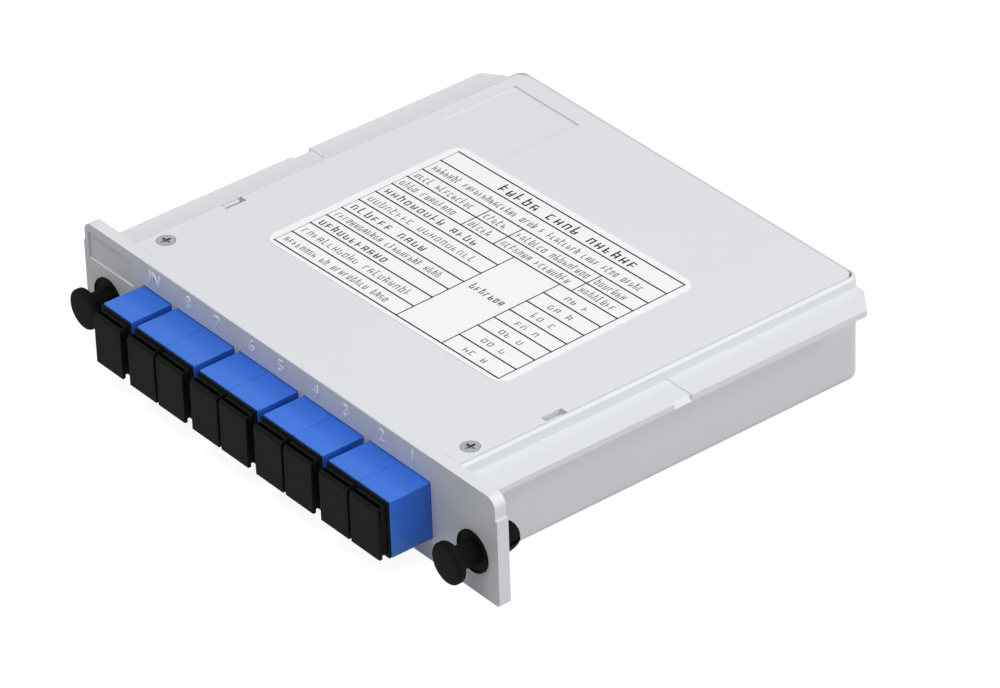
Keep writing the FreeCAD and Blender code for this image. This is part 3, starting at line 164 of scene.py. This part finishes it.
def revolved(name, profile, centre, body, slot, sides=72):
    """A profile of (distance along Y, radius) turned round the Y axis through a point.

    The point at angle a and profile step k is centre + (r_k cos a, y_k, r_k sin a); both ends
    have radius 0 and close in a pole.
    """
    along, radius = np.asarray(profile, float).T
    angle = np.linspace(0, 2 * np.pi, sides, endpoint=False)
    inner = slice(1, -1)
    ring = np.stack([np.outer(radius[inner], np.cos(angle)), np.outer(along[inner], np.ones(sides)),
                     np.outer(radius[inner], np.sin(angle))], axis=2)
    poles = np.array([[0, along[0], 0], [0, along[-1], 0]])
    vertices = np.concatenate([ring.reshape(-1, 3), poles]) + np.asarray(centre)
    rows = len(profile) - 2
    step, turn = np.meshgrid(np.arange(rows - 1), np.arange(sides), indexing="ij")
    after = (turn + 1) % sides
    quads = np.stack([step * sides + turn, (step + 1) * sides + turn, (step + 1) * sides + after,
                      step * sides + after], axis=2).reshape(-1, 4)
    turn = np.arange(sides)
    after = (turn + 1) % sides
    first, last = rows * sides, rows * sides + 1
    caps = np.concatenate([np.stack([np.full(sides, first), turn, after], axis=1),
                           np.stack([np.full(sides, last), (rows - 1) * sides + after,
                                     (rows - 1) * sides + turn], axis=1)])
    piece = add_piece(name, vertices, quads.tolist() + caps.tolist(), body, FINISHES[slot])
    form = bmesh.new()
    form.from_mesh(piece.data)
    bmesh.ops.recalc_face_normals(form, faces=form.faces)
    form.to_mesh(piece.data)
    form.free()
    shade_by_angle(piece)
    return piece


# ---------------------------------------------------------------- materials


GRAIN_SIZE = 0.4 * MM
GRAIN_HEIGHT = 0.02 * MM
GRAIN_DETAIL = 2
MOTTLE_SCALE = 45
MOTTLE_DETAIL = 3


def finish(name, colour, roughness, metallic=0.0, specular=0.5, grain=0.0, mottle=0.0, tint=(1.0, 1.0, 1.0)):
    """A plain finish: fine grain as bump, and a faint drift of tone over the surface."""
    material = bpy.data.materials.new(name)
    material.use_nodes = True
    tree = material.node_tree
    shader = tree.nodes["Principled BSDF"]
    shader.inputs["Base Color"].default_value = (*colour, 1)
    shader.inputs["Roughness"].default_value = roughness
    shader.inputs["Metallic"].default_value = metallic
    shader.inputs["Specular IOR Level"].default_value = specular
    shader.inputs["Specular Tint"].default_value = (*tint, 1)
    if not (grain or mottle):
        return material
    place = tree.nodes.new("ShaderNodeTexCoord")
    if grain:
        noise = tree.nodes.new("ShaderNodeTexNoise")
        noise.inputs["Scale"].default_value = 1 / GRAIN_SIZE
        noise.inputs["Detail"].default_value = GRAIN_DETAIL
        bump = tree.nodes.new("ShaderNodeBump")
        bump.inputs["Strength"].default_value = grain
        bump.inputs["Distance"].default_value = GRAIN_HEIGHT
        tree.links.new(place.outputs["Object"], noise.inputs["Vector"])
        tree.links.new(noise.outputs["Fac"], bump.inputs["Height"])
        tree.links.new(bump.outputs["Normal"], shader.inputs["Normal"])
    if mottle:
        drift = tree.nodes.new("ShaderNodeTexNoise")
        drift.inputs["Scale"].default_value = MOTTLE_SCALE
        drift.inputs["Detail"].default_value = MOTTLE_DETAIL
        tones = tree.nodes.new("ShaderNodeMix")
        tones.data_type = "RGBA"
        tones.inputs["A"].default_value = (*[c * (1 - mottle) for c in colour], 1)
        tones.inputs["B"].default_value = (*[min(1.0, c * (1 + mottle)) for c in colour], 1)
        tree.links.new(place.outputs["Object"], drift.inputs["Vector"])
        tree.links.new(drift.outputs["Fac"], tones.inputs["Factor"])
        tree.links.new(tones.outputs["Result"], shader.inputs["Base Color"])
    return material


CASE_GREY = (0.66, 0.675, 0.70)
BLUE = (0.030, 0.138, 0.62)
FINISHES = {
    "case_plastic": finish("case_plastic", CASE_GREY, 0.45, specular=0.35, grain=0.15, mottle=0.015),
    "raised_figures": finish("raised_figures", (0.86, 0.87, 0.89), 0.4, specular=0.5),
    "lid_plastic": finish("lid_plastic", CASE_GREY, 0.5, specular=0.3, grain=0.15, mottle=0.015),
    "label_stock": finish("label_stock", (0.83, 0.83, 0.845), 0.6, specular=0.3),
    "label_ink": finish("label_ink", (0.012, 0.012, 0.013), 0.8, specular=0.1),
    "screw_steel": finish("screw_steel", (0.40, 0.41, 0.43), 0.3, metallic=1.0, grain=0.3),
    "latch_plastic": finish("latch_plastic", (0.004, 0.0042, 0.0041), 0.68, specular=0.06, grain=0.1),
    "adapter_plastic": finish("adapter_plastic", BLUE, 0.32, specular=0.5, grain=0.15, mottle=0.04,
                              tint=(0.5, 0.9, 1.0)),
    "cap_plastic": finish("cap_plastic", (0.006, 0.0068, 0.0066), 0.65, specular=0.06, grain=0.3),
    "holder_plastic": finish("holder_plastic", (0.85, 0.85, 0.83), 0.45),
    "ceramic": finish("ceramic", (0.88, 0.87, 0.83), 0.15),
    "connector_plastic": finish("connector_plastic", BLUE, 0.4),
    "boot_rubber": finish("boot_rubber", (0.04, 0.13, 0.5), 0.7),
    "module_steel": finish("module_steel", (0.55, 0.56, 0.57), 0.3, metallic=1.0),
    "seal_rubber": finish("seal_rubber", (0.03, 0.03, 0.03), 0.6),
    "fibre_jacket": finish("fibre_jacket", (0.88, 0.88, 0.86), 0.45),
}


def dress_nodes():
    """Every CAD node takes the finish of its slot in the record."""
    for part in frame["record"]["subparts"]:
        mesh = nodes[part["node"]].data
        mesh.materials.clear()
        mesh.materials.append(FINISHES[part["material_slot"]])


# ---------------------------------------------------------------- label print

# The ruled table on the label: its turn and size, and its middle from the label's. Rows count from the front.
LABEL_TURN = math.radians(1.8)
TABLE_SIZE = (67.3 * MM, 47.5 * MM)
TABLE_SHIFT = np.array([0.15, -0.3]) * MM
ROW_SHARES = [0.094, 0.098, 0.087, 0.082, 0.092, 0.091, 0.089, 0.084, 0.083, 0.101, 0.099]
LEFT_COLUMN, MIDDLE_COLUMN = 0.552, 0.752
SPLIT_COLUMNS = [0.312, 0.456, 0.80]
LINE = 0.34 * MM
UPRIGHT_LINE = 0.75 * LINE
LEFT_END_LINE = 0.3 * LINE
INK_RISE = 0.02 * MM
# Text in a cell starts this far from its left line, a letter takes this share of the pitch, and most letters
# stand this share of the full height. Strokes are in millimetres, and level bars are this share of them.
TEXT_MARGIN = 1.2 * MM
LETTER_SHARE = 0.62
SHORT_LETTER = 0.7
PLAIN_STROKE = 0.19
BAR_SHARE = 0.75
SMALL_INSET = -0.3
# The lone word in the wide middle cell: from the cell's left line, and above the middle of its rows.
MIDDLE_WORD = (2.0 * MM, 1.5 * MM)


def table_lines():
    """The table's ruled lines as rectangles about its middle, each row's place, and a share's place across."""
    width, length = TABLE_SIZE
    left, front = -width / 2, -length / 2
    rows = front + length * np.concatenate([[0], np.cumsum(ROW_SHARES)])

    def across(share):
        return left + share * width

    def level(y, start=0.0, end=1.0):
        return (across(start) - LINE / 2, y - LINE / 2, across(end) + LINE / 2, y + LINE / 2)

    def upright(share, low, high, line=UPRIGHT_LINE):
        return (across(share) - line / 2, low, across(share) + line / 2, high)

    lines = [level(rows[k]) for k in (0, 7, 8, 9, 10, 11)]
    for k in range(1, 7):
        lines += [level(rows[k], 0, LEFT_COLUMN), level(rows[k], MIDDLE_COLUMN, 1)]
    lines += [upright(0, rows[0], rows[11], LEFT_END_LINE), upright(1, rows[0], rows[11])]
    lines += [upright(LEFT_COLUMN, rows[0], rows[7]), upright(MIDDLE_COLUMN, rows[0], rows[7])]
    lines += [upright(share, rows[7], rows[9]) for share in SPLIT_COLUMNS]
    return lines, rows, across


def letter(rng, x, low, wide, tall, stroke):
    """A made-up letter: one upright stroke, perhaps a second, and one or two short bars between them."""
    height = tall * rng.choice([SHORT_LETTER, SHORT_LETTER, SHORT_LETTER, 1.0])
    bar = BAR_SHARE * stroke
    marks = [(x, low, x + stroke, low + height)]
    if rng.random() < 0.65:
        second = tall * rng.choice([SHORT_LETTER, 0.45, SHORT_LETTER])
        marks.append((x + wide - stroke, low, x + wide, low + second))
    for level in rng.choice([0.0, 0.34, SHORT_LETTER], size=rng.integers(1, 3), replace=False):
        end = low + max(level * tall - bar, 0.0)
        marks.append((x + stroke / 2, end, x + wide - stroke / 2, end + bar))
    return marks


def greeked(rng, left, low, pitch, tall, words, stroke):
    """A line of made-up text: words of so many letters each, evenly spaced, with one letter's gap."""
    marks = []
    x = left
    for word in words:
        for _ in range(word):
            marks += letter(rng, x, low, LETTER_SHARE * pitch, tall, stroke * MM)
            x += pitch
        x += pitch
    return marks


def print_label():
    """The label's printed table: thin ink over the label, its words only made-up strokes."""
    lines, rows, across = table_lines()
    rng = np.random.default_rng(7)
    text = []

    def write(row, start, pitch, tall, words, stroke=PLAIN_STROKE, inset=0.0):
        low = (rows[row] + rows[row + 1] - tall * MM) / 2
        left = across(start) + TEXT_MARGIN + inset * MM
        text.extend(greeked(rng, left, low, pitch * MM, tall * MM, words, stroke))

    write(10, 0.22, 2.4, 2.8, (5, 4, 6), 0.4)
    write(9, 0, 1.15, 2.1, (7, 14, 4, 1, 8, 4, 4, 5))
    write(8, 0, 1.25, 2.1, (4, 9), inset=SMALL_INSET)
    write(7, 0, 1.28, 2.1, (4, 8), inset=SMALL_INSET)
    cells = [(8, 0, (5,)), (8, 1, (7, 9)), (8, 2, (7,)), (7, 0, (5,)), (7, 1, (7, 8)), (7, 2, (8,))]
    for row, column, words in cells:
        write(row, SPLIT_COLUMNS[column], 1.25, 2.1, words, inset=SMALL_INSET)
    write(6, 0, 2.0, 2.2, (9, 4), 0.29)
    write(5, 0, 1.69, 2.1, (8, 10))
    write(4, 0, 2.06, 2.3, (6, 4), 0.31)
    write(3, 0, 1.17, 2.0, (12, 9, 4))
    write(2, 0, 1.86, 2.3, (11,), 0.31)
    write(1, 0, 1.55, 2.1, (11, 9))
    write(0, 0, 1.2, 2.0, (8, 2, 9, 4))
    for row in range(7):
        write(row, MIDDLE_COLUMN + 0.05, 1.7, 1.9, (2, 1))
    start, rise = MIDDLE_WORD
    low = (rows[0] + rows[7]) / 2 + rise
    text.extend(greeked(rng, across(LEFT_COLUMN) + start, low, 1.4 * MM, 2.1 * MM, (7,), 0.26))

    corner_low, corner_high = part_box("label")
    top = corner_high.z
    vertices, faces = boxes(lines + text, top - INK_RISE, top + INK_RISE)
    cosine, sine = math.cos(LABEL_TURN), math.sin(LABEL_TURN)
    turn = np.array([[cosine, -sine], [sine, cosine]])
    centre = np.array([(corner_low.x + corner_high.x) / 2, (corner_low.y + corner_high.y) / 2])
    vertices[:, :2] = (vertices[:, :2] + TABLE_SHIFT) @ turn.T + centre
    add_piece("label_print", vertices, faces, "cassette", FINISHES["label_ink"])


# ---------------------------------------------------------------- raised characters


# A capital's share of the font's size, how far the figures stand out and their rounded edge, their middle's
# height, how tall they are, and how far they stand to the left of their port.
CAPITAL_SHARE = 0.7
FIGURE_RELIEF = 0.12 * MM
FIGURE_EDGE = 0.04 * MM
FIGURE_HEIGHT = 21.25 * MM
FIGURE_TALL = 2.7 * MM
FIGURE_ASIDE = 0.5 * MM


def raise_text(name, words, x, z, tall):
    """Raised characters on the number strip, their faces towards the front."""
    low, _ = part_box("lid")
    curve = bpy.data.curves.new(name, "FONT")
    curve.body = words
    curve.size = tall / CAPITAL_SHARE
    curve.extrude = FIGURE_RELIEF
    curve.bevel_depth = FIGURE_EDGE
    curve.align_x = "CENTER"
    curve.align_y = "CENTER"
    curve.resolution_u = 3
    shape = bpy.data.objects.new(name + "_curve", curve)
    bpy.context.scene.collection.objects.link(shape)
    bpy.context.view_layer.update()
    mesh = bpy.data.meshes.new_from_object(shape.evaluated_get(bpy.context.evaluated_depsgraph_get()))
    bpy.data.objects.remove(shape)
    mesh.transform(Matrix.Translation((x, low.y, z)) @ Matrix.Rotation(math.pi / 2, 4, "X"))
    piece = bpy.data.objects.new(name, mesh)
    bpy.context.scene.collection.objects.link(piece)
    mesh.materials.clear()
    mesh.materials.append(FINISHES["raised_figures"])
    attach(piece, "cassette")


def number_ports():
    """Each port's number, and IN at the input, above its adapter."""
    for port in PORTS:
        low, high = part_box(f"adapter_{port}")
        words = "IN" if port == "in" else port
        raise_text(f"number_{port}", words, (low.x + high.x) / 2 - FIGURE_ASIDE, FIGURE_HEIGHT, FIGURE_TALL)


# ---------------------------------------------------------------- latches


# The plunger's knob, flare, neck and pin, in millimetres.
KNOB_RADIUS, KNOB_THICK, KNOB_EDGE = 4.35, 1.7, 0.25
FLARE_RADIUS, FLARE_LENGTH = 3.5, 1.15
NECK_RADIUS, NECK_LENGTH = 2.45, 4.95
PIN_RADIUS, PIN_END = 1.0, 0.3


def plunger_profile():
    """Distance from the knob's face and radius: domed knob, concave flare, neck and pin.

    The flare is a quarter of an ellipse: at angle b it stands L (1 - cos b) behind the knob, with the
    radius R - (R - neck) sin b.
    """
    knob, thick = KNOB_RADIUS, KNOB_THICK
    dome = [(0.0, 0.0), (0.02, 2.2), (0.09, 3.5), (0.17, 4.05), (0.3, 4.25), (0.5, knob)]
    rim = [(thick - KNOB_EDGE, knob), (thick - 0.08, knob - 0.08), (thick, knob - KNOB_EDGE)]
    bend = np.linspace(0, np.pi / 2, 9)
    flare = np.stack([thick + FLARE_LENGTH * (1 - np.cos(bend)),
                      FLARE_RADIUS - (FLARE_RADIUS - NECK_RADIUS) * np.sin(bend)], axis=1)
    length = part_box("latch_plunger_left")[1].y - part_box("latch_plunger_left")[0].y
    end = length / MM
    root = thick + NECK_LENGTH
    tail = [(root, NECK_RADIUS), (root, PIN_RADIUS), (end - PIN_END, PIN_RADIUS), (end, PIN_RADIUS - PIN_END),
            (end, 0.0)]
    return np.array(dome + rim + flare.tolist() + tail) * MM


def turn_plungers():
    """Both plungers turned from one profile, each riding on its own body."""
    for side in ("left", "right"):
        node = f"latch_plunger_{side}"
        low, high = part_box(node)
        centre = ((low.x + high.x) / 2, low.y, (low.z + high.z) / 2)
        piece = revolved(f"{node}_turned", plunger_profile(), centre, f"{side}_plunger", "latch_plastic")
        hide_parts(node)


# The collar in millimetres: its disc and shoulder, the panel it sits in, its stem, tail and bores.
DISC_RADIUS, SHOULDER_RADIUS, PANEL_THICK = 4.5, 3.5, 2.7
STEM_RADIUS, STEM_END = 3.25, 5.1
TAIL_LENGTH, TAIL_TIP, TAIL_SWELL, TAIL_POWER = 5.0, 1.3, 1.85, 2.6
NECK_BORE, NECK_BORE_END, PIN_BORE = 2.52, 3.8, 1.08
# The tail's four slits: half of each, the step at its edge, and the wall left at its bottom.
SLIT_HALF_ANGLE = math.radians(9)
SLIT_STEP = 1e-3
SLIT_WALL = 0.05
LEG_STEPS = 14


def turn_collars():
    """Both collars turned: a dished disc, a stem and a rounded tail split in four.

    Each is a closed profile of (distance behind the panel's face, radius) in millimetres. A share t along
    the tail, its radius is TAIL_TIP + TAIL_SWELL sqrt(1 - t ** TAIL_POWER). Inside the four slits it falls to
    just outside the pin's bore.
    """
    disc = [(-0.25, NECK_BORE), (-0.25, 3.9), (-0.32, 4.05), (-0.46, 4.1), (-0.5, 4.2), (-0.46, 4.42),
            (-0.35, DISC_RADIUS), (0.0, DISC_RADIUS), (0.0, SHOULDER_RADIUS), (PANEL_THICK, SHOULDER_RADIUS),
            (PANEL_THICK, STEM_RADIUS), (STEM_END, STEM_RADIUS)]
    tail = [(STEM_END + TAIL_LENGTH * t, TAIL_TIP + TAIL_SWELL * math.sqrt(1 - t ** TAIL_POWER))
            for t in np.linspace(0, 1, 9)]
    inside = [(STEM_END + TAIL_LENGTH, PIN_BORE), (NECK_BORE_END, PIN_BORE), (NECK_BORE_END, NECK_BORE)]
    depth, radius = np.array(disc + tail + inside).T
    in_tail = np.zeros(len(depth), bool)
    in_tail[len(disc):len(disc) + len(tail)] = True

    legs = np.linspace(SLIT_HALF_ANGLE + SLIT_STEP, math.pi / 2 - SLIT_HALF_ANGLE - 2 * SLIT_STEP, LEG_STEPS)
    quarter = np.concatenate([[-SLIT_HALF_ANGLE - SLIT_STEP, -SLIT_HALF_ANGLE, 0, SLIT_HALF_ANGLE], legs])
    angle = (quarter[None] + math.pi / 2 * np.arange(4)[:, None]).reshape(-1)
    in_slit = np.tile(np.abs(quarter) <= SLIT_HALF_ANGLE, 4)
    reach = np.where(in_slit[None] & in_tail[:, None], PIN_BORE + SLIT_WALL, radius[:, None])
    rings, turns = reach.shape
    ring, turn = np.meshgrid(np.arange(rings), np.arange(turns), indexing="ij")
    next_ring, next_turn = (ring + 1) % rings, (turn + 1) % turns
    faces = np.stack([ring * turns + turn, ring * turns + next_turn, next_ring * turns + next_turn,
                      next_ring * turns + turn], axis=2).reshape(-1, 4)
    shape = np.stack([reach * np.cos(angle), np.tile(depth[:, None], (1, turns)), reach * np.sin(angle)],
                     axis=2).reshape(-1, 3) * MM
    vertices = []
    for side in ("left", "right"):
        low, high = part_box(f"latch_plunger_{side}")
        vertices.append(shape + np.array([(low.x + high.x) / 2, FRONT * MM, (low.z + high.z) / 2]))
    piece = add_piece("latch_collars_turned", np.concatenate(vertices),
                      np.concatenate([faces, faces + len(shape)]), "cassette",
                      FINISHES["latch_plastic"])
    shade_by_angle(piece)
    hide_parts("latch_collars")


# ---------------------------------------------------------------- case and lid

# Places on the case and lid, in millimetres: half the number strip, the label recess in the panel, the lid's
# top, and the seams round the lid.
STRIP_HALF = 45.35
STRIP_FOOT = 18
RECESS_LEFT, RECESS_RIGHT, RECESS_FOOT = -63.3, -48.6, 15.9
TOP = 24.0
SEAM = 0.1
SHOULDER_FRONT = 2.75
SHOULDER_CLOSED, STRIP_END_CLOSED = 0.045, 0.09
NEAR = 0.02
# How far edges are rounded.
RECESS_EDGE = 0.22 * MM
LID_EDGE = 0.45 * MM
ADAPTER_EDGE = 0.25 * MM
CAP_EDGE = 0.12 * MM


def near(value, target):
    """Whether a value in millimetres is at the target, for one number or a whole array."""
    return abs(value - target) < NEAR


def dress_case():
    """The case with soft edges round its label recess and beside the number strip."""
    case = finished_copy("base_shell", "cassette", "case_plastic")
    round_chosen(case, [
        lambda p: near(p.y, FRONT) and near(p.x, RECESS_LEFT) and p.z > RECESS_FOOT - SEAM,
        lambda p: near(p.y, FRONT) and near(p.z, RECESS_FOOT) and p.x < RECESS_RIGHT + SEAM,
        lambda p: near(p.y, FRONT) and near(p.x, -STRIP_HALF - SEAM) and p.z > STRIP_FOOT,
    ], RECESS_EDGE)


def dress_lid():
    """The lid with a rounded front edge; beside the number strip it closes up to the panel."""
    lid = finished_copy("lid", "cassette", "lid_plastic")
    round_chosen(lid, [lambda p: near(p.y, FRONT) and near(p.z, TOP)], LID_EDGE)
    corners = np.empty(len(lid.data.vertices) * 3)
    lid.data.vertices.foreach_get("co", corners)
    corners = corners.reshape(-1, 3) / MM
    x, y, z = corners.T
    shoulder = near(y - FRONT, SHOULDER_FRONT) & (np.abs(x) > STRIP_HALF + SEAM)
    strip_end = near(np.abs(x), STRIP_HALF) & (z > TOP - 1)
    corners[shoulder, 1] -= SHOULDER_CLOSED
    corners[strip_end, 0] += STRIP_END_CLOSED * np.sign(x[strip_end])
    lid.data.vertices.foreach_set("co", (corners * MM).reshape(-1))
    lid.data.update()


# ---------------------------------------------------------------- stage


# The floor: half its side, its drop below the part, its own tone, and the glow that makes it look white.
FLOOR_HALF = 3.0
FLOOR_DROP = 0.05 * MM
FLOOR_TONE = (0.32, 0.32, 0.33, 1)
FLOOR_GLOW = 0.9
# The room's even light on the part; seen directly or mirrored, the room is white.
ROOM_LIGHT = 0.27
# Softboxes that all face the origin: place and size in metres, and power in watts.
SOFTBOXES = {
    "overhead": ((0.15, -0.2, 1.35), 1.0, 12.3),
    "side": ((1.3, 0.35, 0.5), 0.8, 8.6),
    "kicker": ((0.82, 0.77, 1.0), 0.25, 2.6),
    "front": ((-0.2, -1.2, 0.9), 0.8, 1.6),
}


def stage_floor():
    """A large plain floor just under the part; the lens sees it near white, with the part's shadow."""
    half = FLOOR_HALF
    mesh = bpy.data.meshes.new("floor")
    low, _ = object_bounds()
    z = low[2] - FLOOR_DROP
    corners = [(-half, -half, z), (half, -half, z), (half, half, z), (-half, half, z)]
    mesh.from_pydata(corners, [], [(0, 1, 2, 3)])
    floor = bpy.data.objects.new("floor", mesh)
    bpy.context.scene.collection.objects.link(floor)
    material = bpy.data.materials.new("floor_white")
    material.use_nodes = True
    tree = material.node_tree
    shader = tree.nodes["Principled BSDF"]
    shader.inputs["Base Color"].default_value = FLOOR_TONE
    shader.inputs["Roughness"].default_value = 0.9
    shader.inputs["Specular IOR Level"].default_value = 0.1
    shader.inputs["Emission Color"].default_value = (1, 1, 1, 1)
    seen = seen_directly(tree)
    glow = tree.nodes.new("ShaderNodeMath")
    glow.operation = "MULTIPLY"
    glow.inputs[1].default_value = FLOOR_GLOW
    tree.links.new(seen, glow.inputs[0])
    tree.links.new(glow.outputs["Value"], shader.inputs["Emission Strength"])
    mesh.materials.append(material)


def seen_directly(tree):
    """One for camera, glossy and transmission rays, nought for the light that falls on things."""
    path = tree.nodes.new("ShaderNodeLightPath")
    first = tree.nodes.new("ShaderNodeMath")
    first.operation = "MAXIMUM"
    second = tree.nodes.new("ShaderNodeMath")
    second.operation = "MAXIMUM"
    tree.links.new(path.outputs["Is Camera Ray"], first.inputs[0])
    tree.links.new(path.outputs["Is Glossy Ray"], first.inputs[1])
    tree.links.new(first.outputs["Value"], second.inputs[0])
    tree.links.new(path.outputs["Is Transmission Ray"], second.inputs[1])
    return second.outputs["Value"]


def light_stage():
    """A plain white room and the softboxes."""
    world = bpy.data.worlds.new("studio")
    bpy.context.scene.world = world
    world.use_nodes = True
    tree = world.node_tree
    background = tree.nodes["Background"]
    background.inputs["Color"].default_value = (1, 1, 1, 1)
    strength = tree.nodes.new("ShaderNodeMapRange")
    strength.inputs["To Min"].default_value = ROOM_LIGHT
    strength.inputs["To Max"].default_value = 1.0
    tree.links.new(seen_directly(tree), strength.inputs["Value"])
    tree.links.new(strength.outputs["Result"], background.inputs["Strength"])

    for name, (place, size, power) in SOFTBOXES.items():
        lamp = bpy.data.lights.new(name, "AREA")
        lamp.shape = "SQUARE"
        lamp.size = size
        lamp.energy = power
        holder = bpy.data.objects.new(name, lamp)
        bpy.context.scene.collection.objects.link(holder)
        holder.location = place
        holder.rotation_euler = (-Vector(place)).to_track_quat("-Z", "Y").to_euler()


# ---------------------------------------------------------------- camera

# Where the lens stands round its target, and what it takes in.
LENS_AZIMUTH = math.radians(52.336)
LENS_ELEVATION = math.radians(33.142)
LENS_ROLL = math.radians(2.101)
LENS_DISTANCE = 1.23012
LENS_TARGET = Vector((0, 3.5 * MM, 12 * MM))
LENS_LENGTH = 226.62
LENS_SHIFT = (0.02006, -0.02713)
SENSOR_WIDTH = 36
NEAREST_SEEN = 0.05


def place_camera():
    """A long lens looking down on the panel's right end and the lid, rolled a little."""
    camera = bpy.data.cameras.new("camera")
    camera.sensor_width = SENSOR_WIDTH
    camera.lens = LENS_LENGTH
    camera.shift_x, camera.shift_y = LENS_SHIFT
    camera.clip_start = NEAREST_SEEN
    a, e = LENS_AZIMUTH, LENS_ELEVATION
    away = Vector((math.cos(e) * math.sin(a), -math.cos(e) * math.cos(a), math.sin(e)))
    right = Vector((math.cos(a), math.sin(a), 0))
    up = away.cross(right)
    across = right * math.cos(LENS_ROLL) - up * math.sin(LENS_ROLL)
    upward = right * math.sin(LENS_ROLL) + up * math.cos(LENS_ROLL)
    holder = bpy.data.objects.new("camera", camera)
    bpy.context.scene.collection.objects.link(holder)
    turned = Matrix((across, upward, away)).transposed().to_4x4()
    holder.matrix_world = Matrix.Translation(LENS_TARGET + away * LENS_DISTANCE) @ turned
    bpy.context.scene.camera = holder


# ---------------------------------------------------------------- assembly

dress_nodes()
print_label()
number_ports()
turn_collars()
turn_plungers()
dress_case()
dress_lid()
for port in PORTS:
    eased_edges(finished_copy(f"adapter_{port}", "cassette", "adapter_plastic"), ADAPTER_EDGE)
    eased_edges(finished_copy(f"dust_cap_{port}", f"cap_{port}", "cap_plastic"), CAP_EDGE)
stage_floor()
light_stage()
place_camera()
bpy.context.scene.view_settings.view_transform = "Standard"
